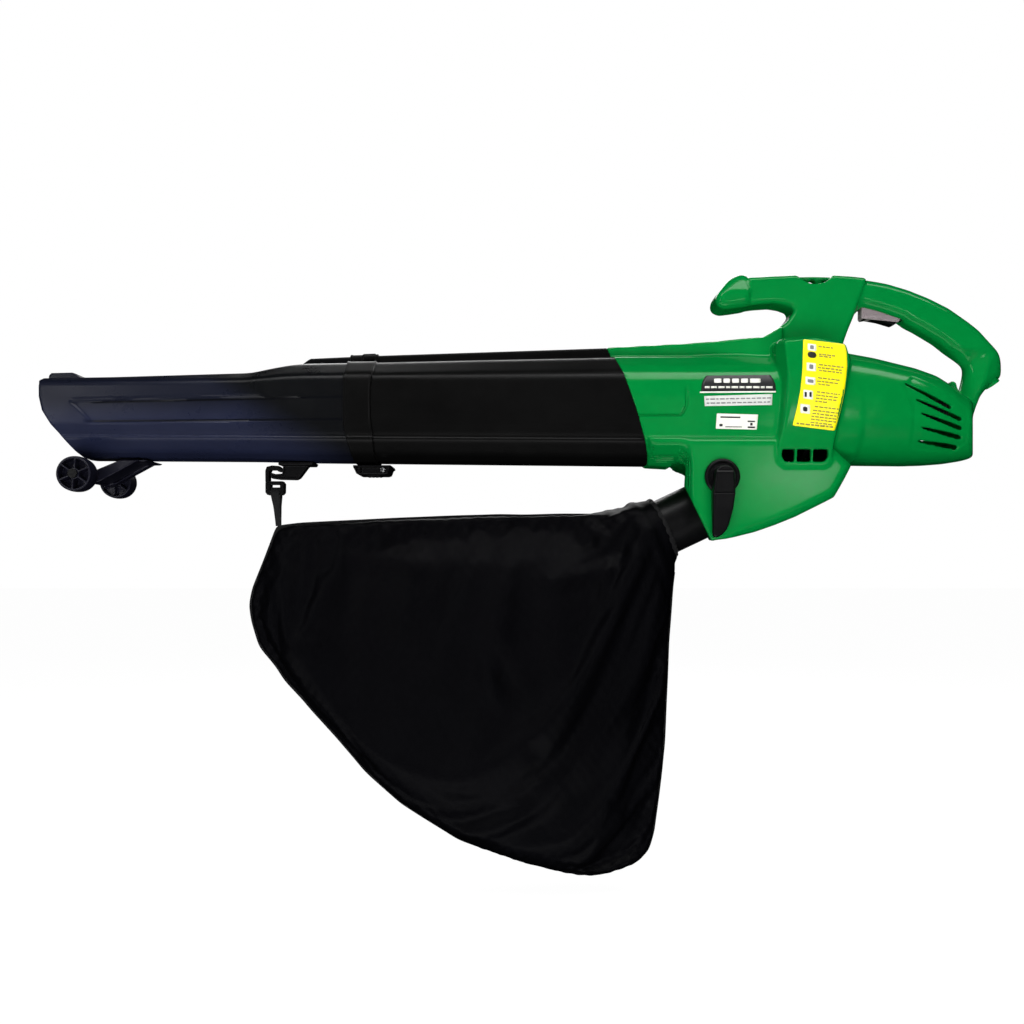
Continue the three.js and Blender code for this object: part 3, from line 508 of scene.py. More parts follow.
def surface_nets(f, origin, h):
    """Quads through the zero level of f, one vertex per crossed cell."""
    nx, ny, nz = f.shape
    s = f < 0
    cnt = np.zeros((nx - 1, ny - 1, nz - 1), np.uint8)
    for i in (0, 1):
        for j in (0, 1):
            for k in (0, 1):
                cnt += s[i:nx - 1 + i, j:ny - 1 + j, k:nz - 1 + k]
    act = (cnt > 0) & (cnt < 8)
    idx = np.full(act.shape, -1, np.int64)
    cells = np.argwhere(act)
    idx[act] = np.arange(len(cells))
    acc = np.zeros((len(cells), 3))
    num = np.zeros(len(cells))
    ci, cj, ck = cells.T
    for ax in range(3):
        o1, o2 = [a for a in range(3) if a != ax]
        for u in (0, 1):
            for w in (0, 1):
                off = [0, 0, 0]
                off[o1], off[o2] = u, w
                e = [0, 0, 0]
                e[ax] = 1
                a = f[ci + off[0], cj + off[1], ck + off[2]]
                b = f[ci + off[0] + e[0], cj + off[1] + e[1], ck + off[2] + e[2]]
                c = (a < 0) != (b < 0)
                t = np.where(c, a / np.where(c, a - b, 1), 0)
                p = np.zeros((len(cells), 3))
                p[:, ax] = t
                p[:, o1], p[:, o2] = u, w
                acc += p * c[:, None]
                num += c
    verts = cells + acc / num[:, None]
    quads = []
    for ax in range(3):
        o1, o2 = [(1, 2), (2, 0), (0, 1)][ax]
        n = list(f.shape)
        sl_a = [slice(0, n[i]) for i in range(3)]
        sl_b = [slice(0, n[i]) for i in range(3)]
        sl_a[ax], sl_b[ax] = slice(0, n[ax] - 1), slice(1, n[ax])
        for o in (o1, o2):
            sl_a[o] = slice(1, n[o] - 1)
            sl_b[o] = slice(1, n[o] - 1)
        A, B = s[tuple(sl_a)], s[tuple(sl_b)]
        e = np.argwhere(A != B)
        base = e.copy()
        for o in (o1, o2):
            base[:, o] += 1
        inside = s[tuple(base.T)]
        q = []
        for du, dw in ((-1, -1), (0, -1), (0, 0), (-1, 0)):
            c = base.copy()
            c[:, o1] += du
            c[:, o2] += dw
            q.append(idx[tuple(c.T)])
        q = np.stack(q, 1)
        q[~inside] = q[~inside][:, ::-1]
        quads.append(q)
    return verts * h + np.asarray(origin), np.concatenate(quads)


def sample(f, origin, h, p):
    """Trilinear value and gradient of a grid at points p."""
    g = (p - origin) / h
    i = np.clip(np.floor(g).astype(int), 0, np.array(f.shape) - 2)
    t = g - i
    v = {}
    for a in (0, 1):
        for b in (0, 1):
            for c in (0, 1):
                v[a, b, c] = f[i[:, 0] + a, i[:, 1] + b, i[:, 2] + c]
    x, y, z = t.T
    lx = lambda b, c: v[0, b, c] * (1 - x) + v[1, b, c] * x
    val = (lx(0, 0) * (1 - y) + lx(1, 0) * y) * (1 - z) + (lx(0, 1) * (1 - y) + lx(1, 1) * y) * z
    gx = sum((v[1, b, c] - v[0, b, c]) * ((y if b else 1 - y) * (z if c else 1 - z)) for b in (0, 1) for c in (0, 1))
    gy = sum((v[a, 1, c] - v[a, 0, c]) * ((x if a else 1 - x) * (z if c else 1 - z)) for a in (0, 1) for c in (0, 1))
    gz = sum((v[a, b, 1] - v[a, b, 0]) * ((x if a else 1 - x) * (y if b else 1 - y)) for a in (0, 1) for b in (0, 1))
    return val, np.stack([gx, gy, gz], 1) / h


def relax(verts, quads, f, origin, h, rounds=2, keep=None):
    """Even out the net and pull it back onto the surface."""
    e = np.concatenate([quads[:, [0, 1]], quads[:, [1, 2]], quads[:, [2, 3]], quads[:, [3, 0]]])
    for _ in range(rounds):
        s = np.zeros_like(verts)
        c = np.zeros(len(verts))
        for a, b in ((0, 1), (1, 0)):
            np.add.at(s, e[:, a], verts[e[:, b]])
            np.add.at(c, e[:, a], 1)
        new = verts * 0.5 + 0.5 * s / np.maximum(c, 1)[:, None]
        if keep is not None:
            new[keep] = verts[keep]
        val, g = sample(f, origin, h, new)
        g2 = np.maximum((g * g).sum(1), 0.2)
        step = np.clip(val / g2, -h * 0.6, h * 0.6)
        verts = new - g * step[:, None]
    return verts


def biggest(verts, quads, least=400):
    """Drop islands of fewer than least vertices."""
    parent = np.arange(len(verts))
    e = np.concatenate([quads[:, [0, 1]], quads[:, [1, 2]], quads[:, [2, 3]], quads[:, [3, 0]]])
    while True:
        m = np.minimum(parent[e[:, 0]], parent[e[:, 1]])
        new = parent.copy()
        np.minimum.at(new, e[:, 0], m)
        np.minimum.at(new, e[:, 1], m)
        new = new[new]
        new = new[new]
        if (new == parent).all():
            break
        parent = new
    lab, inv, cnt = np.unique(parent, return_inverse=True, return_counts=True)
    keep = cnt[inv] >= least
    remap = np.cumsum(keep) - 1
    q = quads[keep[quads].all(1)]
    return verts[keep], remap[q]


def interp_smooth(x, xs, ys, width):
    """Linear interpolation averaged over width."""
    t = np.linspace(-1, 1, 9) * width / 2
    return sum(np.interp(x + d, xs, ys) for d in t) / 9


def smoothstep(a, b, x):
    t = np.clip((x - a) / (b - a), 0, 1)
    return t * t * (3 - 2 * t)

# ------------------------------------------------------------------ green housing (two moulded shells)
TOP = [(-252, -77), (-245.4, -76.8), (-132.6, -70.8), (-62.4, -68.4), (-48.6, -59.4), (-33.7, -49.4), (-28, -42), (-24.6, -36.6), (-27, -31.8),
       (-36.6, -28.2), (-48.6, -26.4), (-66.6, -27.6), (-78.6, -29.4)]
HORN_TOP = [(-72.6, 4.2), (-48.6, 5.4), (-24.6, 6.6), (0.6, 7.2), (23.4, 6.6), (47.4, 4.8), (61.2, 3.2)]
NECK = TOP[3:] + [(-80, -6), (-79, 4)] + HORN_TOP + [(61.2, -1.3), (54.6, -19.6), (46, -43), (39, -59.9), (34, -74), (30, -92), (-10, -112), (-56, -100), (-62, -80)]
KNOB = [(-76, -29.6), (-93, -32.4), (-107.4, -34.2), (-115.8, -30.6), (-118.2, -24.6), (-116.6, -18), (-112.2, -11.4), (-102.6, 0.6),
        (-95.4, 6), (-85.8, 9.6), (-79.8, 8.6), (-75.4, 3.6), (-74, -10)]
HANDLE = [(40, 5.4), (47.4, 4.8), (61.8, 3), (77.4, 0.6), (89.4, -1.8), (101.4, -5.4), (113.4, -9), (125.4, -13.8), (137.4, -18.6),
          (149.4, -24.6), (161.4, -30.6), (173.4, -39), (185.4, -47.4), (197.4, -57), (209.4, -70.2), (221.4, -83.4), (226.2, -93),
          (227.4, -102.6), (227.4, -112.2), (215.4, -120.6), (207, -127.2), (199.8, -136.2), (195, -148.2), (190, -160), (174, -158),
          (173.5, -146), (175.8, -138.6), (179, -126), (181.8, -114.6), (183, -105.6), (181.8, -100.2), (173.4, -91.8), (161.4, -81),
          (149.4, -71.4), (137.4, -64.2), (125.4, -57), (113.4, -51), (105.6, -45), (77.4, -35.4), (57, -30.1), (50, -38), (30, -60), (10, -40)]
VOLUTE = [(-204, -189), (-198.6, -219.2), (-180, -220.4), (-170, -221), (-164, -222.4), (-161, -225), (-160.8, -229.5), (-162.9, -245.5),
          (-162, -249), (-148.6, -275.5), (-131.6, -309.6), (-125.9, -308), (-114.4, -306.7), (-103, -304.4), (-80.1, -298.7), (-57.2, -290.7), (-34.3, -281.5),
          (-11.4, -270.1), (0, -264.4), (10.3, -259), (17.2, -247.2), (22.9, -236.9), (30.5, -222), (14, -206), (-8, -189)]
HOOD = [(-46, -84), (-45.8, -127.7), (-51.4, -184), (-54.8, -201), (-53.7, -215.7), (-48, -221.3), (-4, -221.3),
        (1.6, -215.7), (3.8, -201), (7.2, -186.4), (19.6, -132.3), (23, -103), (18.5, -88), (-12, -81.5)]
HOOD = [(x, z - 1.4 if z < -214 else z) for x, z in HOOD]
MOTOR = [(20, -84, -216.5, 66), (28, -84.5, -216.5, 66), (65.4, -91.4, -217, 65.5), (113.4, -103.2, -217.5, 63), (137.4, -111.6, -216.8, 60),
         (153, -121.4, -215.6, 57), (161.4, -128.2, -215, 55), (170, -133.8, -213.6, 53), (181.8, -140.6, -211.8, 50), (190, -146, -208.5, 46), (206, -151, -206, 42)]
SLOTS = [((91, -129.5), (142.5, -155.8)), ((103, -148), (155, -169)), ((108.5, -163.5), (155.5, -179.4)), ((109.5, -179.4), (155.5, -189.7)), ((107.5, -194.3), (153.5, -200.6))]
SCREWS = [(-96, -14, 14), (20, -30, 14), (122, -31, 11), (207, -92, 11), (20, -240, 14)]


def section_poly(top, half=59.5, bottom=62):
    k = half / 59.5
    half_pts = [(0, top + 1.5), (12, top + 0.8), (25, top - 2.5), (44, 51), (51.5, 42.5), (56.4, 31), (58.9, 14), (59.5, -4), (59.2, -20), (58, -33), (46, -50), (24, -60.4), (0, -bottom)]
    half_pts = [(y * k, z) for y, z in half_pts]
    return np.array(half_pts + [(-y, z) for y, z in half_pts[-2:0:-1]])


def housing_field(h, far_half=False):
    X = np.arange(-251, 234, h)
    Y = np.arange(-78, 2.6 * h, h)
    Z = np.arange(-313, 14, h)
    ay = np.abs(Y).astype(np.float32)
    PX, PZ = np.meshgrid(X, Z, indexing="ij")
    x3, y3, z3 = [a.astype(np.float32) for a in (X[:, None, None], ay[None, :, None], Z[None, None, :])]
    bl = lambda P, s: blur2(sd_poly(PX, PZ, P), s / h)

    # duct ahead of the fan: section morphs along X
    YY, ZZ = np.meshgrid(ay, Z, indexing="ij")
    stations = [(-262, 67.5, 59.2), (-120, 68, 60.2), (-40, 69, 62), (60, 66, 64)]
    fields = [blur2(sd_poly(YY, ZZ - AXIS_Z, section_poly(t, w)), 2.2 / h) for _, t, w in stations]
    xs = [s[0] for s in stations]
    duct = np.empty((len(X), len(ay), len(Z)), np.float32)
    for i, x in enumerate(X):
        j = min(max(np.searchsorted(xs, x) - 1, 0), len(xs) - 2)
        t = np.clip((x - xs[j]) / (xs[j + 1] - xs[j]), 0, 1)
        duct[i] = fields[j] * (1 - t) + fields[j + 1] * t
    duct = smax(duct, x3 - 40, 6)

    # ahead of the port the underside follows the round bottom of the duct
    vh = np.interp(PZ, [-222, -217, -209, -200, -191], [20, 30, 49, 61, 66])
    vh = 66 + (vh - 66) * smoothstep(-152, -168, PX)
    vr = 3.5 + 7.5 * smoothstep(-150, -112, PX + 0.35 * (PZ + 236)) + 7.5 * smoothstep(-226, -214, PZ) * smoothstep(-112, -150, PX)
    volute = rounded_plate(bl(VOLUTE, 1.2), ay, vh.astype(np.float32), np.clip(vr, 3.5, 11).astype(np.float32))
    # the port wall leans back from the near face to the far one
    lean = sd_poly(PX, PZ, [(-230, -190), (-176, -205), (-161.5, -222), (-162.9, -246), (-131.6, -311), (-230, -340)])
    across = y3 if far_half else -y3
    wall = 0.17 * (66 + across) * smoothstep(-214, -226, z3) - lean[:, None, :]
    volute = np.where(x3 > -170, smax(volute, wall, 2), volute)
    # the scroll is fuller towards the fan
    zt, zb, hw = [interp_smooth(X, [m[0] for m in MOTOR], [m[i] for m in MOTOR], 8)[:, None, None].astype(np.float32) for i in (1, 2, 3)]
    cz, hz = (zt + zb) / 2, (zt - zb) / 2
    f = (np.abs(y3 / hw) ** 2.7 + np.abs((z3 - cz) / hz) ** 2.7) ** (1 / 2.7)
    rr = np.sqrt(y3 ** 2 + (z3 - cz) ** 2)
    motor = rr * (1 - 1 / np.maximum(f, 1e-3))
    motor = np.where(rr < 5, -np.minimum(hw, hz), motor)
    motor = smax(motor, (x3 + 0.45 * y3 - 194.8) * 0.93, 5)
    motor = smax(motor, 14 - x3, 4)
    # flat pad that carries the cooling slots
    pad = bl([(86, -134), (97, -156), (97, -204), (150, -207), (166, -196), (166, -160), (142, -140), (100, -120)], 1.0)
    motor = motor + 0.9 * (1 - smoothstep(-2.2, 0.4, pad))[:, None, :] * (y3 > 30)

    fin = rounded_plate(bl([(-262, -78), *TOP[1:4], (-50, -60), (-50, -110), (-262, -110)], 0.8), ay, 5.6, 1.6)
    wedge_half = (5.4 + 21.0 * smoothstep(-142, -62, PX)).astype(np.float32)
    wedge = rounded_plate(bl([(-142, -71.5), (-127, -70.5), (-62.4, -68.4), (-40, -55), (-40, -112), (-142, -112)], 1.0), ay, wedge_half, 2.0)
    neck = rounded_plate(bl(NECK, 1.5), ay, 20.5, 5.5)
    knob_half = (16 + 8.5 * smoothstep(10, -18, PZ) + 0 * PX).astype(np.float32)
    knob = rounded_plate(bl(KNOB, 2.0), ay, knob_half, 9)
    # rear post: two facets meeting on a ridge
    dr, _ = sd_seg(PX, PZ, (208, -92), (190, -152))
    taper = 0.32 * np.clip(dr - 1.5, 0, 22) * smoothstep(-78, -98, PZ)
    handle = rounded_plate(bl(HANDLE, 2.6), ay, (17.5 - taper).astype(np.float32), 11.5)
    cordhook = rounded_plate(bl([(184, -143), (176, -141), (170.6, -132), (168.6, -125), (165.8, -120.5), (166.4, -117.2), (169.6, -116.4), (173.2, -118.8), (174.6, -125), (178, -130.5), (183.5, -136)], 0.7), ay, 5.0, 1.5)

    base = smin(duct, volute, 2.0)
    base = smin(base, motor, 5)
    base = smin(base, wedge, 4)
    base = smin(base, fin, 2.4)
    grip = smin(neck, handle, 1.2)
    grip = smin(grip, knob, 1.2)
    outer = smin(base, grip, 4)
    inner = outer + WALL
    outer = smin(outer, cordhook, 2)

    # raised band with drafted sides
    hd = bl(HOOD, 1.4)
    draft = 0.34
    a = hd[:, None, :] + draft * np.clip(y3 - 62, -12, 12) - draft * 12 + 4.2
    b = y3 - 74.0 + 4.0
    hood = np.sqrt(np.maximum(a - 0.2, 0) ** 2 + np.maximum(b, 0) ** 2) + np.minimum(np.maximum(a - 0.2, b), 0) - 4.0
    # the band's face falls away a little at the bottom and the top
    hood = np.maximum(hood, y3 + 0.0016 * (z3 + 150) ** 2 - 74.0)
    outer = smin(outer, hood, 3.2)

    # mouth of the air intake under the band, with two ribs
    win = bl([(-52, -205), (0.4, -205), (0.4, -214), (-4, -219.4), (-47.6, -219.4), (-52.2, -213.6)], 0.9)
    ribs = np.minimum(np.abs(PX + 36.4), np.abs(PX + 17.8)) - 1.35
    pocket = smax(win[:, None, :], 57 - y3, 1.0)
    rib3 = np.maximum(ribs[:, None, :], y3 - 70.2)
    outer = np.maximum(outer, -np.maximum(pocket, -rib3))

    shell = np.maximum(outer, -inner)
    # the eye for the shoulder strap has a solid boss round it
    hole = np.hypot(PX, PZ)[:, None, :]
    shell = np.minimum(shell, np.maximum(outer, hole - 12))

    # pressed panel on the side, strap-eye recess and hole
    panel = bl([(-241, -119.5), (-164.2, -119.5), (-158.4, -131), (-158.4, -153.8), (-164.2, -165.2), (-222, -165.2)], 0.9)
    line = np.abs(panel) - 1.15
    shell = smax(shell, -np.maximum(line[:, None, :], 57.0 - y3), 0.8)
    eye = np.hypot(PX, PZ - 22) - 26.5
    shell = smax(shell, -np.maximum(eye[:, None, :], 6.0 - y3 + 0.35 * np.clip(PZ[:, None, :] - 2, -8, 8)), 0.8)
    shell = np.maximum(shell, 4.0 - hole + 0 * y3)

    # cooling slots, pointed at both ends
    for a0, b0 in SLOTS:
        d, t = sd_seg(PX, PZ, a0, b0)
        w = 0.8 + 1.5 * np.clip(t / 0.7, 0, 1) ** 0.7
        shell = np.maximum(shell, -np.maximum((d - w)[:, None, :], 34 - y3))
    # trigger opening, mains inlet, selector shaft, bag port
    bx = np.maximum(np.abs(x3 - 82.7) - 25.3, np.maximum(y3 - 8.4, np.abs(z3 + 40) - 24))
    shell = np.maximum(shell, -bx)
    P3 = lambda c: (x3 - c[0], y3, z3 - c[2])
    px, py, pz = P3(INLET_AT)
    s = px * INLET_DIR[0] + pz * INLET_DIR[2]
    r = np.sqrt(np.maximum(px ** 2 + py ** 2 + pz ** 2 - s ** 2, 0))
    shell = np.maximum(shell, -np.maximum(r - 9.4, np.maximum(-14 - s, s - 8)))
    px, py, pz = P3(PORT)
    s = px * PORT_DIR[0] + pz * PORT_DIR[2]
    r = np.sqrt(np.maximum(px ** 2 + py ** 2 + pz ** 2 - s ** 2, 0))
    shell = smax(shell, -np.maximum(r - 34.1, np.maximum(-14 - s, s - 14)), 1.0)
    shell = np.maximum(shell, -np.maximum(np.hypot(PX - SEL[0], PZ - SEL[1])[:, None, :] - 5.3, 40 - y3))
    # front edge, joint plane
    bd = np.array([(x + 0.2, z) for x, z in BOUND[::-1]])
    ahead = sd_poly(PX, PZ, [(-300, -40)] + [(x, z) for x, z in bd[::-1]] + [(-188, -252), (-300, -252)])
    shell = np.maximum(shell, -ahead[:, None, :] + 0 * y3)
    return shell.astype(np.float32), np.array([X[0], Y[0], Z[0]]), (PX, PZ, ay, X, Y, Z)


def half_shell(f, origin, h, Y):
    """One half of the housing: the field cut flat at the joint plane, with a crisp edge along it."""
    cut_f = np.maximum(f, (Y + 0.16).astype(np.float32)[None, :, None]).astype(np.float32)
    v, q = surface_nets(cut_f, origin, h)
    v, q = biggest(v, q)
    on = v[:, 1] > -0.16 - 0.62 * h
    v = relax(v, q, cut_f, origin, h, 2, keep=on)
    v[on, 1] = -0.16
    for _ in range(3):
        val, g = sample(f, origin, h, v[on])
        g = g.copy()
        g[:, 1] = 0
        n2 = (g ** 2).sum(1)
        ok = (np.abs(val) < 0.8 * h) & (n2 > 0.15)
        step = np.where(ok, val / np.maximum(n2, 0.15), 0)[:, None] * g
        ln = np.linalg.norm(step, axis=1)
        step *= np.where(ln > 0.5 * h, 0.5 * h / np.maximum(ln, 1e-9), 1)[:, None]
        v[on] -= step
    v[:, 1] = np.minimum(v[:, 1], -0.16)
    return v, q


H = 1.7
WALL = 2.5 * H
field, origin, grid = housing_field(H)
hv, hq = half_shell(field, origin, H, grid[4])
shell_left = make("housing_shell_left", hv, hq, M_GREEN, "root", 42, ["housing_left"])

# the right half is the mirror image, with recesses for the five screws instead of the selector bore
fr, _, _ = housing_field(H, True)
PX, PZ, ay, X_, Y_, Z_ = grid
y3 = ay[None, :, None]
for sx, sz, seat in SCREWS:
    d = np.hypot(PX - sx, PZ - sz)[:, None, :]
    boss = np.maximum(d - 8.4, y3 - (64 if sz < -200 else seat + 5))
    fr = np.minimum(fr, boss)
    fr = np.maximum(fr, -np.maximum(d - 4.4, (seat - 0.3) - y3))
    fr = np.maximum(fr, -np.maximum(d - 2.4, y3 - seat - 1))
sel = np.maximum(np.hypot(PX - SEL[0], PZ - SEL[1])[:, None, :] - 9, np.abs(y3 - 62) - 3.4)
fr = np.minimum(fr, sel)
rv, rq = half_shell(fr.astype(np.float32), origin, H, Y_)
rv[:, 1] *= -1
shell_right = make("housing_shell_right", rv, rq[:, ::-1], M_GREEN, "root", 42, ["housing_right"])
print("housing faces", len(hq), len(rq))

# ------------------------------------------------------------------ tubes (dense lofts of the moulded section)
# half section, top to bottom: [y, z above the axis]; F is the fin height above the top
SEC = [(0.0, "F"), (3.9, "F"), (5.0, "F1"), (5.5, "T1"), (6.8, "T"), (25, "T2"), (31, "T3"), (50.5, 42), (54.8, 38.2), (56.6, 33.5),
       (57.9, 12), (58.2, -6), (57.6, -18), (55.6, -28), (53.4, -33.6), (55.2, -35.6), (53.6, -38.6), (41.5, -51), (36.5, -54.6), (21, -60), (0, -61)]


def control(x, top, bottom, half, fin):
    """Control points of the half section at each x, shape (n, k, 2)."""
    x = np.asarray(x, float)
    out = np.zeros((len(x), len(SEC), 2))
    f = np.maximum(fin, 0.0)
    for i, (y, z) in enumerate(SEC):
        if z == "F":
            zz = top + f
        elif z == "F1":
            zz = top + np.maximum(f - 1.1, 0)
        elif z == "T1":
            zz = top + np.minimum(f, 0.6)
        elif z == "T":
            zz = top
        elif z == "T2":
            zz = top * 58 / 60
        elif z == "T3":
            zz = top * 55.4 / 60
        else:
            # upper facets follow the top, lower ones the bottom
            if z > 0:
                zz = z * (0.35 + 0.65 * np.minimum(top, 60) / 60) + np.maximum(top - 60, 0) * max(0, (z - 36) / 6) * 0.4
            else:
                zz = z * bottom / 61
        out[:, i, 0] = y * half / 58
        out[:, i, 1] = zz
    return out


def sample_params(n, fin=9.0):
    """Positions along the control polygon, closer together round the fin and the edges."""
    ref = control([0.0], np.array([60.0]), np.array([61.0]), np.array([58.0]), np.array([fin]))[0]
    seg = np.hypot(*(ref[1:] - ref[:-1]).T)
    w = np.concatenate([[1.4, 2.2, 2.4, 2.2, 0.7], np.full(len(seg) - 5, 1.0)])
    w[5:] = [1.3, 0.8, 1.6, 1.6, 0.9, 0.9, 0.9, 1.3, 1.9, 2.2, 1.6, 0.9, 1.3, 0.9, 0.8]
    s = np.concatenate([[0], np.cumsum(seg * w)])
    u = np.linspace(0, s[-1], n)
    i = np.clip(np.searchsorted(s, u, side="right") - 1, 0, len(seg) - 1)
    return i, (u - s[i]) / (s[i + 1] - s[i])


def section_table(xs, top, bottom, half, fin, n, smooth=3):
    """(len(xs), 2n-2, 2) closed sections, softened along their length."""
    c = control(xs, top, bottom, half, fin)
    i, t = sample_params(n)
    p = c[:, i] * (1 - t)[None, :, None] + c[:, i + 1] * t[None, :, None]
    full = np.concatenate([p, p[:, -2:0:-1] * np.array([-1, 1])], 1)
    for _ in range(smooth):
        full = full * 0.5 + 0.25 * (np.roll(full, 1, 1) + np.roll(full, -1, 1))
    # start at the -Y side: y negative first
    full[:, :, 0] *= -1
    return full


def inset(sec, d):
    """Sections moved inward by d in their own plane."""
    t = np.roll(sec, -1, -2) - np.roll(sec, 1, -2)
    n = np.stack([t[..., 1], -t[..., 0]], -1)
    n /= np.maximum(np.linalg.norm(n, axis=-1, keepdims=True), 1e-9)
    c = sec.mean(-2, keepdims=True)
    sgn = np.sign(((sec - c) * n).sum(-1).mean())
    return sec - sgn * n * d


def grid_faces(n, m, wrap=True, base=0):
    i, j = np.meshgrid(np.arange(n - 1), np.arange(m if wrap else m - 1), indexing="ij")
    k = (j + 1) % m
    return (base + np.stack([i * m + j, (i + 1) * m + j, (i + 1) * m + k, i * m + k], -1)).reshape(-1, 4)


def ring_faces(a, b, m):
    j = np.arange(m)
    k = (j + 1) % m
    return np.stack([a + j, a + k, b + k, b + j], -1)


def tube_piece(name, xs, sec_at, x_of, wall_at, relief, mat, replaces):
    """xs: parameters; x_of(param, y, z) -> x per point; sec_at is not used; relief(x, y, z) moves the skin inwards."""
    outer_x, outer_y, outer_z = x_of(xs, sec_at)
    d = relief(outer_x, outer_y, outer_z)
    cy, cz = outer_y, outer_z
    ty = np.roll(cy, -1, 1) - np.roll(cy, 1, 1)
    tz = np.roll(cz, -1, 1) - np.roll(cz, 1, 1)
    ln = np.maximum(np.hypot(ty, tz), 1e-9)
    ny, nz = tz / ln, -ty / ln
    sg = np.sign((ny * cy + nz * cz).mean())
    ny, nz = ny * sg, nz * sg
    oy, oz = cy - ny * d, cz - nz * d
    w = wall_at(outer_x)
    # the inner skin follows a smooth section, so the fin stays solid
    iy, iz = cy - ny * w, np.minimum(cz - nz * w, inner_top(outer_x, cy) - w)
    n, m = outer_x.shape
    V = np.concatenate([np.stack([outer_x, oy, oz + AXIS_Z], -1).reshape(-1, 3),
                        np.stack([outer_x, iy, iz + AXIS_Z], -1).reshape(-1, 3)])
    fo = grid_faces(n, m)
    fi = grid_faces(n, m, base=n * m)[:, ::-1]
    F = np.concatenate([fo, fi, ring_faces(0, n * m, m), ring_faces((n - 1) * m, n * m + (n - 1) * m, m)[:, ::-1]])
    o = make(name, V, F, mat, None, 34)
    outward(o)
    shade(o, 34)
    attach(o, "root")
    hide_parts(*replaces)
    return o


NOZ_X = [-930, -826, -665, -640, -618, -600, -551, -500]
NOZ_T = [41.5, 43.2, 48, 53.5, 57.6, 59.2, 60, 60.3]
NOZ_B = [54, 54.5, 55.5, 56, 56.6, 57, 57.5, 57.6]
NOZ_H = [54.5, 55.2, 56.6, 57, 57.3, 57.6, 58, 58]
noz_top = lambda x: interp_smooth(x, NOZ_X, NOZ_T, 16)
noz_bot = lambda x: interp_smooth(x, NOZ_X, NOZ_B, 16)
noz_half = lambda x: interp_smooth(x, NOZ_X, NOZ_H, 16)
rear_top = lambda x: interp_smooth(x, [-560, -510, -400, -246, -150], [60, 60.6, 63.2, 66.4, 68], 12)
rear_bot = lambda x: 57.5 + (x + 551) * 0.0105
fin_top = lambda x: np.interp(x, [-560, -246, -150], [69.6, 80.0, 82])


def inner_top(x, y):
    t = np.where(x < COLLAR_F, noz_top(x), rear_top(x))
    return t - 2.0 / 60 * np.abs(y) * 0.4


def band(v, lo, hi, soft):
    return smoothstep(lo - soft, lo + soft, v) * (1 - smoothstep(hi - soft, hi + soft, v))


def nozzle_relief(x, y, z):
    zz = z + AXIS_Z
    side = smoothstep(40, 46, np.abs(y))
    top = -148.9 + (x + 864.7) * (4.6 / 225.2)
    bot = -171.4 + (x + 842) * (1.8 / 286)
    front = -865 + (top - zz) * (23.0 / 22.4)
    rear = 1 - smoothstep(-640, -560, x) * 0.9
    down = np.clip((top - zz) / 22, 0, 1)
    inside = smoothstep(-0.9, 1.2, top - zz) * smoothstep(-0.9, 1.1, zz - bot) * smoothstep(-1.0, 1.8, x - front)
    d = inside * (2.6 - 1.2 * down) * rear
    # bevelled shoulder above the panel
    d += 1.3 * band(zz - bot, -2.0, 0.6, 1.0) * smoothstep(-850, -840, x) * rear
    d -= 0.8 * band(zz - top, 0.8, 3.6, 1.2) * smoothstep(-870, -858, x) * (1 - smoothstep(-650, -636, x))
    return d * side


tab_z0 = -113.5
SEC_N = 130


def nozzle_grid(ts, _):
    K = np.arange(-935, -500, 3.0)
    tab = section_table(K, noz_top(K), noz_bot(K), noz_half(K), np.where(K > -600, (np.interp(K, [-600, -551], [67.4, 69.6]) - noz_top(K)), np.interp(K, [-612, -600], [0, 8.2])), SEC_N)
    mouth_sec = tab[14]
    my, mz = mouth_sec[:, 0], mouth_sec[:, 1] + AXIS_Z
    mouth = np.interp(-mz, [100, 128.9, 142.7, 158.7, 174.8, 190.8, 208, 217], [-904, -902, -901.4, -897.6, -888, -874.6, -863.4, -859])
    mouth = mouth - 9.5 * (1 - np.clip(np.abs(my) / 52, 0, 1) ** 2) * np.clip((mz + 214) / 60, 0.2, 1)
    end = COLLAR_F + 7.0 * smoothstep(-172, -218, mz) + 2.0
    x = mouth[None, :] + (end[None, :] - mouth[None, :]) * ts[:, None]
    y, z = np.empty_like(x), np.empty_like(x)
    for j in range(x.shape[1]):
        y[:, j] = np.interp(x[:, j], K, tab[:, j, 0])
        z[:, j] = np.interp(x[:, j], K, tab[:, j, 1])
    # rolled lip
    lip = np.clip(1 - (x - mouth[None, :]) / 2.4, 0, 1) ** 2
    y *= 1 - 0.016 * lip
    z *= 1 - 0.016 * lip
    return x, y, z


nt = 168
ts = np.unique(np.concatenate([[0, 0.002, 0.004, 0.007], np.linspace(0.011, 1, nt)]))
nozzle = tube_piece("nozzle_shell", ts, None, nozzle_grid, lambda x: 2.6 + 0 * x, nozzle_relief, M_NOZZLE, ["nozzle_tube"])


def rear_relief(x, y, z):
    zz = z + AXIS_Z
    # collar proud of the tube, with a raised front edge and a seam behind it
    cf = COLLAR_F + 7.0 * smoothstep(-172, -218, zz)
    cr = COLLAR_R - 2.4 * band(zz, -175, -120, 18)
    d = -1.6 * smoothstep(-0.35, 0.35, x - cf) * (1 - smoothstep(-0.35, 0.35, x - cr))
    d += -0.5 * band(x - cf, -0.2, 2.4, 0.4)
    d += -0.35 * band(x - cr, -2.0, 0.2, 0.4)
    # the joint makes a small bump on the fin
    d += -1.2 * band(x, -536, -521, 1.2) * smoothstep(62, 66, z)
    return d


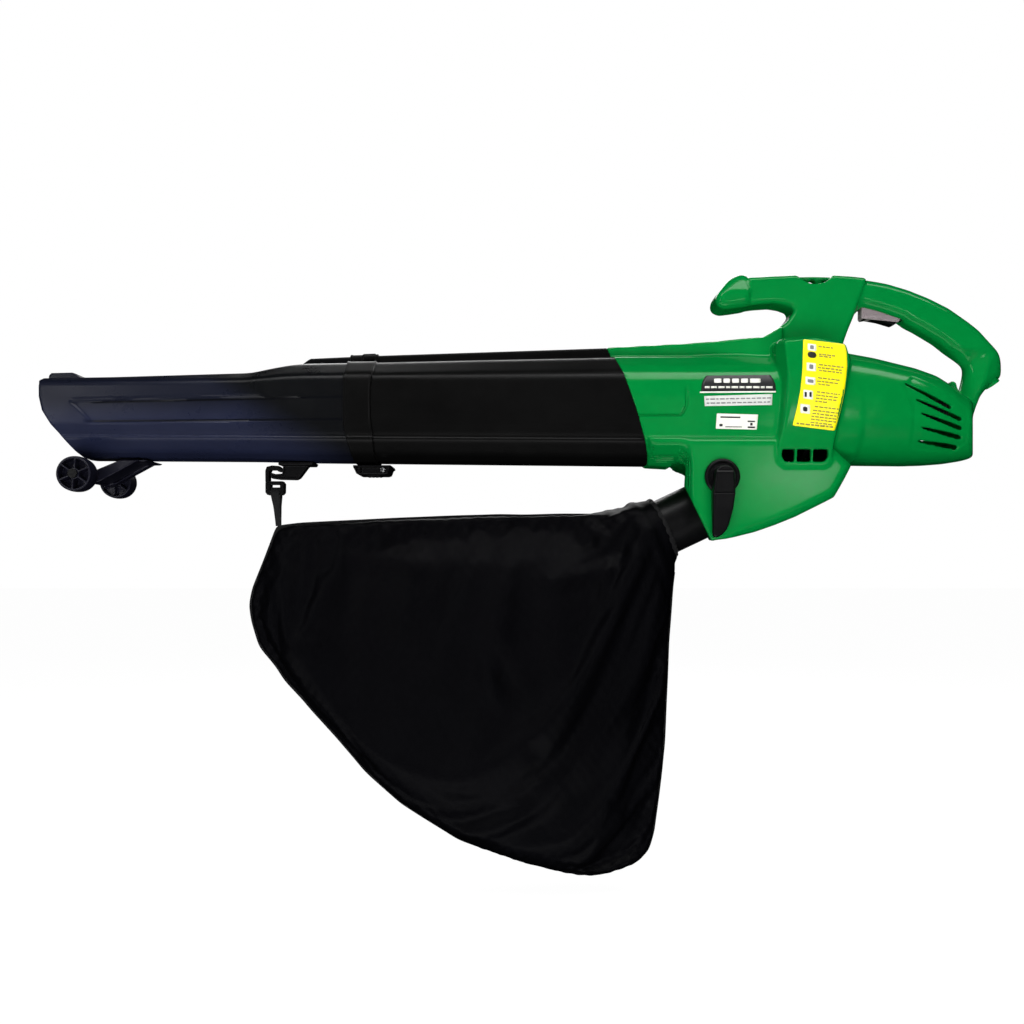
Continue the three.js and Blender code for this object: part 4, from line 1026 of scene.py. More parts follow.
def rear_grid(ps, _):
    K = np.arange(-560, -150, 3.0)
    tab = section_table(K, rear_top(K), rear_bot(K), 58 + 0 * K, fin_top(K) - rear_top(K), SEC_N)
    my, mz = tab[100, :, 0], tab[100, :, 1] + AXIS_Z
    b = np.interp(-mz, -BOUND[:, 1], BOUND[:, 0])
    a0 = COLLAR_F + 7.0 * smoothstep(-172, -218, mz) - 0.6
    x = np.empty((len(ps), len(mz)))
    for i, p in enumerate(ps):
        x[i] = a0 + (b - a0) * p if p <= 1 else b + 0.3 + (p - 1) * 24
    y, z = np.empty_like(x), np.empty_like(x)
    for j in range(x.shape[1]):
        y[:, j] = np.interp(x[:, j], K, tab[:, j, 0])
        z[:, j] = np.interp(x[:, j], K, tab[:, j, 1])
    sleeve = np.array(ps) > 1
    sec = np.stack([y, z], -1)
    ins = inset(sec, 4.6)
    y[sleeve] = ins[sleeve][..., 0]
    z[sleeve] = np.minimum(ins[sleeve][..., 1], rear_top(x[sleeve]) - 4.6)
    return x, y, z


ps = np.unique(np.concatenate([np.linspace(0, 0.13, 50), np.linspace(0.13, 1.0, 136), [1.0001, 1.3, 1.9, 2.0]]))
rear = tube_piece("rear_tube_shell", ps, None, rear_grid, lambda x: 2.4 + 0 * x, rear_relief, M_TUBE, ["rear_tube"])
print("tube faces", len(nozzle.data.polygons), len(rear.data.polygons))

# ------------------------------------------------------------------ small moulded parts (fields meshed finely)
def grid_part(name, lo, hi, h, fn, mat, body, replaces=(), smooth=40, rounds=2, least=60):
    """A closed piece from a signed field fn(x, y, z), in millimetres."""
    ax = [np.arange(lo[i] - 2.1 * h, hi[i] + 2.2 * h, h) for i in range(3)]
    f = fn(ax[0][:, None, None], ax[1][None, :, None], ax[2][None, None, :])
    f = np.broadcast_to(f, tuple(len(a) for a in ax)).astype(np.float32)
    org = np.array([a[0] for a in ax])
    v, q = surface_nets(f, org, h)
    v, q = biggest(v, q, least)
    v = relax(v, q, f, org, h, rounds)
    return make(name, v, q, mat, body, smooth, replaces)


def ext(d2, dy, r):
    """Rounded extrusion: in-plane distance d2, distance past the faces dy, edge radius r."""
    a, b = d2 + r, dy + r
    return np.sqrt(np.maximum(a, 0) ** 2 + np.maximum(b, 0) ** 2) + np.minimum(np.maximum(a, b), 0) - r


def pl(P):
    """Distance field of an outline in XZ as a function of broadcast x and z."""
    def f(x, z):
        X, Z = np.broadcast_arrays(x[:, 0, :], z[0, 0, :][None, :])
        return sd_poly(np.asarray(X, float), np.asarray(Z, float), P)[:, None, :]
    return f


def along(x, y, z, origin, direction):
    px, py, pz = x - origin[0], y - origin[1], z - origin[2]
    s = px * direction[0] + py * direction[1] + pz * direction[2]
    return s, np.sqrt(np.maximum(px * px + py * py + pz * pz - s * s, 0))


def lathe(name, profile, origin, direction, n, mat, body, replaces=(), smooth=35):
    """A closed profile of (s, r) turned about an axis."""
    d = Vector(direction).normalized()
    q = Vector((0, 0, 1)).rotation_difference(d)
    prof = np.array(profile, float)
    a = np.arange(n) * 2 * math.pi / n
    V = np.stack([prof[:, 1][:, None] * np.cos(a), prof[:, 1][:, None] * np.sin(a), np.repeat(prof[:, 0][:, None], n, 1)], -1).reshape(-1, 3)
    M = np.array(q.to_matrix())
    V = V @ M.T + np.asarray(origin)
    k = len(prof)
    i, j = np.meshgrid(np.arange(k), np.arange(n), indexing="ij")
    i2, j2 = (i + 1) % k, (j + 1) % n
    F = np.stack([i * n + j, i * n + j2, i2 * n + j2, i2 * n + j], -1).reshape(-1, 4)
    o = make(name, V, F, mat, None, smooth)
    outward(o)
    shade(o, smooth)
    if body:
        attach(o, body)
    if replaces:
        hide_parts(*replaces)
    return o


def arc_profile(points, r=0.5, n=3):
    """Round the corners of a closed profile."""
    P = np.array(points, float)
    out = []
    for i in range(len(P)):
        a, b, c = P[i - 1], P[i], P[(i + 1) % len(P)]
        la, lc = np.linalg.norm(a - b), np.linalg.norm(c - b)
        k = min(r, la * 0.45, lc * 0.45)
        p, q = b + (a - b) / la * k, b + (c - b) / lc * k
        for t in np.linspace(0, 1, n + 1):
            out.append((1 - t) ** 2 * p + 2 * t * (1 - t) * b + t * t * q)
    return out


# lip tab on top of the mouth
tab2 = pl([(-905, -119), (-904.4, -113), (-901.5, -110), (-877, -109.4), (-872, -111.2), (-866, -116), (-860, -119)])
grid_part("nozzle_lip_tab", (-906, -23, -120), (-860, 23, -108), 0.9,
          lambda x, y, z: ext(tab2(x, z), np.abs(y) - 22, 1.8), M_NOZZLE, "root")

# wheels: barrel rims with six spokes, a ring hub and a web
def wheel_field(sign):
    c = sign * 61.5
    def f(x, y, z):
        dx, dz = x - WHEEL[0], z - WHEEL[1]
        r = np.sqrt(dx * dx + dz * dz)
        yy = (y - c) * sign            # towards the outer face
        crown = 0.9 * (yy / 11.0) ** 2
        rim = ext(np.abs(r - 19.1 + crown) - 1.25, np.abs(yy) - 10.9, 0.8)
        ang = np.arctan2(dz, dx) - 0.42
        k = np.round(ang / (math.pi / 3)) * (math.pi / 3)
        across = np.abs(-np.sin(k + 0.42) * dx + np.cos(k + 0.42) * dz) - 0.8
        spoke = np.maximum(np.maximum(across, r - 19), np.maximum(5 - r, np.abs(yy) - 9.9))
        hub = ext(np.abs(r - 5.0) - 1.3, np.abs(yy) - 10.4, 0.4)
        web = np.maximum(np.maximum(np.abs(yy + 3) - 0.9, r - 19), 5 - r)
        return smin(smin(rim, smin(spoke, web, 0.9), 0.8), hub, 0.8)
    return f


for nm, sg in (("left", -1), ("right", 1)):
    grid_part("wheel_moulding_" + nm, (WHEEL[0] - 20.6, sg * 61.5 - 11, WHEEL[1] - 20.6), (WHEEL[0] + 20.6, sg * 61.5 + 11, WHEEL[1] + 20.6), 0.62,
              wheel_field(sg), M_WHEEL, f"wheel_{nm}_body", ["wheel_" + nm], 50)

# wheel bracket: saddle plate, two splayed arms with a flange, axle tube and a brace
ARM = [(-817, -213.5), (-795, -213.5), (-800, -216), (-842, -238.8), (-853.5, -241.2), (-861, -236.5), (-862, -230.5), (-856, -225.2), (-846, -225.5)]
arm2, sad2 = pl(ARM), pl([(-818, -215.2), (-789, -214.9), (-785, -212.9), (-818, -212.4)])
rib2 = pl([(-812, -214.5), (-802, -214.5), (-846, -237.4), (-852, -233.4)])


def bracket(x, y, z):
    ay = np.abs(y)
    d = ext(arm2(x, z), np.abs(ay - 27.5) - 2.6, 1.0)
    flange = np.maximum(np.abs(arm2(x, z) + 0.9) - 0.9, np.maximum(np.abs(ay - 24.5) - 5.4, z + 214.5))
    d = smin(d, flange, 0.8)
    d = smin(d, ext(sad2(x, z), ay - 27, 1.0), 1.6)
    d = smin(d, ext(rib2(x, z), ay - 26, 0.8), 1.6)
    s = np.sqrt((x - WHEEL[0]) ** 2 + (z - WHEEL[1]) ** 2)
    d = smin(d, ext(s - 7.6, ay - 47.5, 1.2), 1.6)
    return np.maximum(d, 3.35 - s)


grid_part("wheel_bracket_moulding", (-863, -48, -242), (-763, 48, -212), 0.95, bracket, M_WHEEL, "root", ["wheel_bracket"])

# bag hook under the nozzle: saddle and a ribbed tongue
hook2 = pl([(-631, -214.4), (-598.4, -214.4), (-600.5, -217), (-612, -232.4), (-616, -234.6), (-636, -234.2), (-645.8, -232.8), (-646.4, -226.2), (-641, -228), (-632.6, -227.4)])
hsad = pl([(-635, -218), (-595, -218), (-593, -214.4), (-635, -214.2)])


def hook(x, y, z):
    d = ext(hook2(x, z), np.abs(y) - 4.6, 1.2)
    d = smin(d, np.maximum(np.abs(hook2(x, z) + 1.0) - 1.0, np.abs(y) - 6.6), 0.8)
    return smin(d, ext(hsad(x, z), np.abs(y) - 17, 1.1), 2.0)


grid_part("bag_hook_moulding", (-647, -18, -236), (-592, 18, -213), 0.7, hook, M_BLACK, "root", ["bag_hook"])

# clip: a snap hook head with a bar at the foot for the webbing
clip2 = pl([(-651.4, -219.2), (-645, -217.6), (-636.5, -218.2), (-632.6, -221.6), (-631.4, -225), (-637.4, -225), (-639.6, -222.9), (-646.6, -223), (-648.4, -227), (-648.2, -236.4),
            (-632.4, -236.4), (-630.2, -239), (-630.4, -250), (-633, -252.8), (-650.6, -252.8), (-652.8, -250), (-653, -224)])
slot2 = pl([(-646.6, -240.4), (-635.2, -240.4), (-635.2, -247.2), (-646.6, -247.2)])


def clip(x, y, z):
    d = ext(clip2(x, z), np.abs(y) - 6.6, 1.3)
    d = np.maximum(d, -ext(slot2(x, z), np.abs(y) - 30, 1.0))
    # swivel collar and grooves
    d = smax(d, -np.maximum(np.abs(z + 237.8) - 0.7, 5.4 - np.abs(y)), 0.5)
    return smax(d, -np.maximum(np.abs(x + 642) - 3.2, np.maximum(np.abs(z + 232) - 2.6, 5.2 - np.abs(y))), 0.5)


grid_part("bag_clip_moulding", (-653.2, -7, -253), (-630, 7, -217.4), 0.55, clip, M_BLACK, "root", ["bag_clip"])

# tube latch: body, button and screw
lat2 = pl([(-546, -219.4), (-501, -219.4), (-502, -222), (-504.6, -228.6), (-507.5, -229.8), (-539, -229.8), (-542, -228.6), (-545, -222)])


def latch(x, y, z):
    d = ext(lat2(x, z), np.abs(y) - 22, 1.6)
    d = smin(d, ext(np.maximum(np.abs(x + 523) - 22, np.abs(z + 220.4) - 1.3), np.abs(y) - 26, 0.8), 1.2)
    d = np.maximum(d, -np.maximum(np.maximum(np.abs(x + 523) - 9, np.abs(y) - 9), z + 221.5))
    for gx in (-536, -541):
        d = smax(d, -np.maximum(np.abs(x - gx) - 0.6, np.abs(z + 225) - 3) + 0 * y, 0.4)
    return d


grid_part("tube_latch_body", (-547, -27, -230), (-500, 27, -219), 0.62, latch, M_BLACK, "root", ["latch_housing"])


def button(x, y, z):
    d = ext(np.maximum(np.abs(x + 523) - 8.5, np.abs(y) - 8.5), np.abs(z + 228.3) - 3.1, 0.9)
    for k in (-4.5, 0, 4.5):
        d = smax(d, -(np.sqrt((x + 523 - k) ** 2 + (z + 231.9) ** 2) - 1.0) + 0 * y, 0.4)
    return d


grid_part("tube_latch_button", (-532, -9, -231.6), (-514, 9, -225), 0.5, button, M_BLACK, "latch_button_body", ["latch_button"])


def screw_head(name, x0, z0, y_out, y_in, r, body, replaces, shank=None):
    """Pan head with a cross recess, facing -Y if y_out < y_in."""
    sg = -1 if y_out < y_in else 1
    def f(x, y, z):
        rr = np.sqrt((x - x0) ** 2 + (z - z0) ** 2)
        t = (y - y_out) * sg
        d = ext(rr - r, np.abs(y - (y_out + y_in) / 2) - abs(y_out - y_in) / 2, 0.7)
        cross = np.minimum(np.maximum(np.abs(x - x0) - 0.5, np.abs(z - z0) - r * 0.55), np.maximum(np.abs(z - z0) - 0.5, np.abs(x - x0) - r * 0.55))
        d = np.maximum(d, -np.maximum(cross, -t - 1.2))
        if shank:
            d = smin(d, np.maximum(rr - shank[0], np.abs(y - (shank[1] + y_in) / 2) - abs(shank[1] - y_in) / 2), 0.3)
        return d
    ylo, yhi = min(y_out, y_in, shank[1] if shank else y_in), max(y_out, y_in, shank[1] if shank else y_in)
    return grid_part(name, (x0 - r, ylo, z0 - r), (x0 + r, yhi, z0 + r), 0.36, f, M_STEEL, body, replaces, 40, 1)


lo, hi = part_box("latch_screw")
screw_head("latch_screw_head", -510, -224, lo.y * 1000, hi.y * 1000, 3.0, "root", ["latch_screw"])
for i, (sx, sz, seat) in enumerate(SCREWS):
    screw_head(f"housing_screw_head_{i + 1}", sx, sz, seat + 3.3, seat + 0.3, 3.8, "root", [f"housing_screw_{i + 1}"], (2.0, seat - 14))

# selector lever: flanged disc, round boss with a flat step and a tapered blade
blade2 = pl([(-130, -231), (-109.5, -231), (-108.4, -256), (-110.6, -272), (-114.6, -290), (-117, -296.5), (-122.4, -302.6), (-127, -304.8), (-131, -305.2), (-132.6, -302), (-133.2, -280), (-133.6, -256)])


def lever(x, y, z):
    r = np.sqrt((x - SEL[0]) ** 2 + (z - SEL[1]) ** 2)
    ay = -y
    disc = ext(r - 20, np.abs(ay - 69.1) - 2.7, 1.3)
    ring = ext(np.abs(r - 17.2) - 1.4, np.abs(ay - 70.4) - 2.3, 0.9)
    boss = ext(r - 11.6, np.abs(ay - 76) - 8.6, 2.6)
    face = 86.0 - 5.5 * smoothstep(-270, -306, z)
    blade = ext(blade2(x, z), np.abs(ay - (face + 72.5) / 2) - (face - 72.5) / 2, 2.2)
    ridge = np.maximum(np.abs(x - (-120.6 + (z + 256) * 0.06)) - 1.1, np.maximum(np.abs(z + 279) - 20, ay - face - 0.6))
    d = smin(smin(disc, ring, 0.7), boss, 1.2)
    d = smin(d, blade, 1.0)
    step = np.maximum(np.abs(z + 255.8) - 0.55, np.maximum(blade2(x, z), 84.6 - ay))
    d = smax(d, -step, 0.5)
    return np.maximum(d, -np.maximum(r - 5.05, ay - 79.8))


grid_part("selector_lever_moulding", (-141, -87, -306), (-99, -66, -215), 0.72, lever, M_BLACK, "selector", ["selector_lever"], 45)

# trigger: curved finger face with a dark lower lip line
trig2 = pl([(58.8, -26.5), (58.4, -41.5), (60.2, -43.8), (66, -42.9), (80, -45.4), (96.2, -50.2), (99, -49.2), (103, -46.6), (106.6, -42.4), (107, -34), (99, -30), (74, -25), (62, -24)])


def trigger(x, y, z):
    d = ext(trig2(x, z), np.abs(y) - 7.5, 1.6)
    g = np.abs(trig2(x, z) + 3.1) - 0.35
    d = smax(d, -np.maximum(g, 7.0 - np.abs(y)), 0.4)
    return np.maximum(d, 2.35 - np.sqrt((x - 102) ** 2 + (z + 38) ** 2))


trig = grid_part("trigger_moulding", (58, -7.6, -51), (107.2, 7.6, -24), 0.55, trigger, M_TRIGGER, "trigger_body", ["trigger"], 45)
# the faces along the lower edge of the finger face take the black plastic
trig.data.materials.append(M_BLACK)
for q in trig.data.polygons:
    c = q.center * 1000
    if c.z < -42.6 - 0.105 * (c.x - 60.6) and c.x > 60.2:
        q.material_index = 1
lathe("trigger_pin_turned", arc_profile([(-9.8, 0.02), (-9.8, 2.0), (9.8, 2.0), (9.8, 0.02)], 0.4), (102, 0, -38), (0, 1, 0), 28, M_STEEL, "root", ["trigger_pin"])

# return spring of the trigger
turns, wire = 7, 0.45
steps = turns * 24
tt = np.linspace(0, 1, steps)
aa = tt * turns * 2 * math.pi
rise = smoothstep(0, 1, tt) * 0.35 + tt * 0.65
bb = np.arange(8) * math.pi / 4
V = np.stack([67 + (3.0 + wire * np.cos(bb))[None, :] * np.cos(aa)[:, None],
              (3.0 + wire * np.cos(bb))[None, :] * np.sin(aa)[:, None],
              (-23.4 + (23.4 - 4.4) * rise)[:, None] + (wire * np.sin(bb))[None, :]], -1).reshape(-1, 3)
e = (steps - 1) * 8
F = np.concatenate([grid_faces(steps, 8), [[0, 1, 2, 3], [0, 3, 4, 7], [4, 5, 6, 7], [e, e + 3, e + 2, e + 1], [e, e + 7, e + 4, e + 3], [e + 4, e + 7, e + 6, e + 5]]])
coil = make("trigger_spring_coil", V, F, M_STEEL, None, 40)
outward(coil)
shade(coil, 40)
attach(coil, "root")
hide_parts("trigger_spring")
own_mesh(coil)

# bag spigot: smooth tube with the bead that holds the bag
lathe("bag_spigot_moulding", arc_profile([(-20, 31), (-20, 33.1), (-17, 33.7), (38, 33.7), (38.4, 33.7), (43.8, 33.7), (45.4, 35.4), (49.4, 35.7), (50, 34.6), (50, 31)], 0.7), PORT, PORT_DIR, 96,
      M_BLACK, "bag", ["bag_spigot"], 50)
print("small parts done")

# ------------------------------------------------------------------ collecting bag
BAG = [(-640.2, -289.8), (-612.6, -286.2), (-552.6, -283.2), (-492.6, -280.2), (-432.6, -277.8), (-372.6, -276), (-343.8, -276.6), (-300.6, -275.4),
       (-250, -275.6), (-222, -276), (-196, -292), (-176, -313), (-163.5, -325), (-161.8, -335), (-165, -361.8), (-169.8, -425.4), (-173.8, -521.4), (-175.2, -550.2), (-178.6, -585.7),
       (-187.8, -656.4), (-194.5, -678.4), (-209.8, -693.5), (-235, -702.6), (-265.3, -707.8), (-295.8, -705), (-329.4, -696.6), (-348.6, -691.8),
       (-396.6, -675), (-423.1, -665.4), (-491.8, -622.2), (-534.6, -583.8), (-568.9, -543), (-598.9, -510.6), (-609.6, -497.4), (-631.1, -474.6),
       (-641.8, -457.8), (-661.1, -434.3), (-670.7, -403.8), (-673.4, -384.6), (-669.6, -365.4), (-654.6, -327)]
# soft folds on the panels: ends, width, height; side -1 is the near panel, 0 both
FOLDS = [((-352, -284), (-420, -640), 15, 7.0, -1), ((-318, -290), (-300, -520), 17, 5.0, -1), ((-380, -420), (-320, -560), 9, -4.0, -1),
         ((-330, -600), (-430, -655), 12, 5.5, -1), ((-260, -300), (-215, -470), 13, 5.0, -1), ((-225, -330), (-330, -350), 9, 3.5, -1),
         ((-560, -300), (-610, -440), 16, 4.5, -1), ((-620, -300), (-470, -330), 12, 4.0, 0), ((-470, -300), (-500, -560), 20, 4.0, -1),
         ((-200, -420), (-240, -620), 13, 4.0, -1), ((-330, -560), (-250, -690), 14, 4.0, 0), ((-410, -300), (-450, -420), 9, -3.5, -1),
         ((-240, -300), (-300, -330), 7, 3.0, 0), ((-236, -310), (-262, -380), 6, 2.6, 0), ((-214, -322), (-222, -400), 6, 2.6, 0),
         ((-350, -290), (-330, -640), 17, 6.0, 1), ((-450, -290), (-520, -560), 18, 5.0, 1), ((-240, -310), (-210, -600), 15, 5.0, 1),
         ((-560, -300), (-620, -420), 14, 4.0, 1), ((-420, -520), (-330, -680), 14, 5.0, 1)]


def fold_sum(x, z, side):
    out = np.zeros(np.broadcast(x, z).shape)
    for a, b, w, hgt, sd in FOLDS:
        if sd and sd != side:
            continue
        d, t = sd_seg(x, z, a, b)
        bend = 9 * np.sin(t * math.pi * 1.3 + a[0])
        out += hgt * np.exp(-((d + 0.18 * bend) / w) ** 2) * np.sin(np.clip(t, 0, 1) * math.pi) ** 0.6
        out -= 0.35 * hgt * np.exp(-((d - 2.0 * w) / (0.9 * w)) ** 2)
    return out


BH = 6.0
bx = np.arange(-690, -140, BH)
by = np.arange(-84, 85, BH)
bz = np.arange(-722, -232, BH)
BX, BZ = np.meshgrid(bx, bz, indexing="ij")
bd2 = blur2(sd_poly(BX, BZ, BAG), 0.8)
inner_t = np.clip(-bd2, 0, None)
kx = 0.40 + 0.60 * smoothstep(-655, -380, BX)
depth = 58.0 * kx * (1 - 0.25 * smoothstep(-330, -280, BZ))
lens = depth * np.sqrt(np.clip(1 - (1 - np.clip(inner_t / 105, 0, 1)) ** 2.0, 0, 1))
edge = smoothstep(4, 40, inner_t)
b3x, b3y, b3z = bx[:, None, None], by[None, :, None], bz[None, None, :]
hl = (lens + fold_sum(BX, BZ, -1) * edge)[:, None, :]
hr = (lens + fold_sum(BX, BZ, 1) * edge)[:, None, :]
half3 = np.where(b3y < 0, hl, hr)
body = np.maximum((np.abs(b3y) - half3 - 1.5) * 0.72, (bd2[:, None, :] + 2.0))
sN, rN = along(b3x, b3y, b3z, PORT, PORT_DIR)
side_v = np.cross(PORT_DIR, [0, 1, 0])
th = np.arctan2(b3y - PORT[1], (b3x - PORT[0]) * side_v[0] + (b3z - PORT[2]) * side_v[2])
gather = (1.5 * np.cos(9 * th + sN * 0.05) + 1.1 * np.cos(5 * th - sN * 0.09 + 1.0)) * smoothstep(48, 80, sN)
cone = np.maximum(rN - (37.6 + 0.10 * np.clip(sN - 42, 0, 200) + 3.0 * smoothstep(44, 62, sN) + gather), sN - 118)
bag_f = smin(body, cone, 15)
bag_f = np.maximum(bag_f, np.where(rN < 70, 41.5 - sN, -1e3))
borg = np.array([bx[0], by[0], bz[0]])
bv, bq = surface_nets(bag_f.astype(np.float32), borg, BH)
bv, bq = biggest(bv, bq)
bv = relax(bv, bq, bag_f, borg, BH, 2)
# open the sleeve over the spigot
cen = bv[bq].mean(1)
s_c = (cen - PORT) @ PORT_DIR
r_c = np.linalg.norm(cen - PORT - s_c[:, None] * PORT_DIR, axis=1)
bq = bq[~((s_c < 43.6) & (r_c < 35.5))]
used = np.unique(bq)
remap = np.full(len(bv), -1)
remap[used] = np.arange(len(used))
bv, bq = bv[used], remap[bq]
bag = make("collecting_bag", bv, bq, M_FABRIC, None, 180)


def seam_distance(p):
    d = np.full(len(p), 1e9)
    for i in range(len(BAG)):
        dd, _ = sd_seg(p[:, 0], p[:, 2], BAG[i - 1], BAG[i])
        d = np.minimum(d, dd)
    return d


def coords(o):
    a = np.empty(len(o.data.vertices) * 3)
    o.data.vertices.foreach_get("co", a)
    return a.reshape(-1, 3)


def set_coords(o, a):
    o.data.vertices.foreach_set("co", np.ascontiguousarray(a, dtype=np.float64).ravel())
    o.data.update()


rest = coords(bag)
mmv = rest * 1000
sv = (mmv - PORT) @ PORT_DIR
near = seam_distance(mmv)
w = np.clip(1 - (near - 5) / 6, 0, 1) * (np.abs(mmv[:, 1]) < 14)
w = np.maximum(w, 1 - smoothstep(56, 84, sv))
w = np.maximum(w, 1 - smoothstep(14, 34, np.hypot(mmv[:, 0] + 640, mmv[:, 2] + 292)))
g = bag.vertex_groups.new(name="pin")
for i in np.nonzero(w > 0.01)[0].tolist():
    g.add([i], float(w[i]), "REPLACE")
c = bag.modifiers.new("cloth", "CLOTH")
cs = c.settings
cs.quality = 6
cs.mass = 0.18
cs.air_damping = 1.5
cs.tension_stiffness = cs.compression_stiffness = 12
cs.shear_stiffness = 6
cs.bending_stiffness = 0.6
cs.vertex_group_mass = "pin"
cs.shrink_min = -0.055
cs.use_pressure = True
cs.uniform_pressure_force = 1.2
cs.effector_weights.gravity = 0.25
c.collision_settings.use_collision = False
c.point_cache.frame_start, c.point_cache.frame_end = 1, 26
for f_ in range(1, 25):
    scene.frame_set(f_)
dg = bpy.context.evaluated_depsgraph_get()
ev = bag.evaluated_get(dg)
got = np.empty(len(rest) * 3)
ev.data.vertices.foreach_get("co", got)
got = got.reshape(-1, 3)
bag.modifiers.remove(c)
scene.frame_set(1)
step = got - rest
ln = np.linalg.norm(step, axis=1)
cap = 0.016
step *= np.where(ln > cap, cap / np.maximum(ln, 1e-9), 1)[:, None]
# the bound seam is stiffer than the cloth and keeps its outline
hold = 0.3 + 0.7 * smoothstep(4, 48, seam_distance(rest * 1000))
step[:, 0] *= hold
step[:, 2] *= hold
new = rest + step
# keep clear of the floor and inside the design's depth
new[:, 1] = np.clip(new[:, 1], -0.0745, 0.0745)
new[:, 2] = np.maximum(new[:, 2], -0.7125)
set_coords(bag, new)
bag.vertex_groups.clear()


def apply_modifiers(o):
    dg = bpy.context.evaluated_depsgraph_get()
    me = bpy.data.meshes.new_from_object(o.evaluated_get(dg))
    old = o.data
    o.modifiers.clear()
    o.data = me
    bpy.data.meshes.remove(old)


sub = bag.modifiers.new("sub", "SUBSURF")
sub.levels = sub.render_levels = 1
apply_modifiers(bag)
# fine crumple along the seams and round the gathered neck
p = coords(bag)
mmv = p * 1000
nrm = np.empty(len(p) * 3)
bag.data.vertices.foreach_get("normal", nrm)
nrm = nrm.reshape(-1, 3)
sv = (mmv - PORT) @ PORT_DIR
near = seam_distance(mmv)
pk = np.sin(mmv[:, 0] * 0.42 + 0.7 * np.sin(mmv[:, 2] * 0.09)) * np.sin(mmv[:, 2] * 0.31 + 0.9 * np.sin(mmv[:, 0] * 0.07))
amp = 0.55 * np.exp(-((near - 15) / 10) ** 2) + 0.2
ang = np.arctan2(mmv[:, 1], (mmv - PORT) @ side_v)
amp_neck = np.exp(-((sv - 62) / 22) ** 2)
wrap = (np.sin(sv * 0.23 + 2.2 * np.sin(ang + 0.6)) * 1.1 + np.sin(sv * 0.41 - 1.6 * np.cos(1.7 * ang)) * 0.5)
mmv = mmv + nrm * (pk * amp * (1 - amp_neck) + wrap * amp_neck)[:, None] * (smoothstep(43, 50, sv))[:, None]
set_coords(bag, mmv / 1000)
sol = bag.modifiers.new("sol", "SOLIDIFY")
sol.thickness = 0.0011
sol.offset = -1
apply_modifiers(bag)
shade(bag, 180)
print("bag faces", len(bag.data.polygons))


def resample(P, step, closed=False):
    P = np.array(P, float)
    if closed:
        P = np.vstack([P, P[:1]])
    s = np.concatenate([[0], np.cumsum(np.linalg.norm(P[1:] - P[:-1], axis=1))])
    u = np.arange(0, s[-1], step)
    return np.stack([np.interp(u, s, P[:, i]) for i in range(P.shape[1])], 1)


def sweep(name, path, axis_u, axis_v, profile, mat, closed=False, smooth=50):
    """Profile (u, v) carried along path with given axes per point."""
    path, U, V_ = [np.asarray(a, float) for a in (path, axis_u, axis_v)]
    prof = np.asarray(profile, float)
    if prof.ndim == 2:
        prof = np.repeat(prof[None], len(path), 0)
    n, m_ = len(path), prof.shape[1]
    pts = path[:, None, :] + prof[:, :, 0:1] * U[:, None, :] + prof[:, :, 1:2] * V_[:, None, :]
    F = grid_faces(n, m_).tolist()
    if closed:
        F += ring_faces((n - 1) * m_, 0, m_)[:, ::-1].tolist()
    else:
        F += [tuple(range(m_)), tuple(range(n * m_ - 1, (n - 1) * m_ - 1, -1))]
    o = make(name, pts.reshape(-1, 3), F, mat, None, smooth)
    outward(o)
    shade(o, smooth)
    return o


# folded tape bound over the seam
ring = resample(BAG, 4.0, closed=True)
for _ in range(3):
    ring = 0.5 * ring + 0.25 * (np.roll(ring, 1, 0) + np.roll(ring, -1, 0))
tan = np.roll(ring, -1, 0) - np.roll(ring, 1, 0)
tan /= np.linalg.norm(tan, axis=1)[:, None]
out2 = np.stack([tan[:, 1], -tan[:, 0]], 1)
if ((ring - ring.mean(0)) * out2).sum(1).mean() < 0:
    out2 = -out2
s_r = ((ring[:, 0] - PORT[0]) * PORT_DIR[0] + (ring[:, 1] - PORT[2]) * PORT_DIR[2])
r_r = np.hypot(ring[:, 0] - PORT[0] - s_r * PORT_DIR[0], ring[:, 1] - PORT[2] - s_r * PORT_DIR[2])
in_neck = (r_r < 47 + 0.1 * s_r) & (s_r < 112)
k0 = np.nonzero(in_neck)[0]
start = (k0[-1] + 1) if len(k0) else 0
order = [(start + i) % len(ring) for i in range(len(ring)) if not in_neck[(start + i) % len(ring)]]
R2, O2 = ring[order], out2[order]
wob = 0.5 * np.sin(np.arange(len(R2)) * 0.35)
path3 = np.stack([R2[:, 0] - O2[:, 0] * 2.0, wob, R2[:, 1] - O2[:, 1] * 2.0], 1)
U3 = np.stack([O2[:, 0], 0 * O2[:, 0], O2[:, 1]], 1)
V3 = np.tile([0.0, 1.0, 0.0], (len(R2), 1))
prof = [(2.6, 0), (2.3, 1.3), (1.2, 2.0), (-2.6, 2.3), (-3.4, 1.7), (-3.5, 0), (-3.4, -1.7), (-2.6, -2.3), (1.2, -2.0), (2.3, -1.3)]
binding = sweep("bag_seam_binding", path3, U3, V3, prof, M_BINDING)

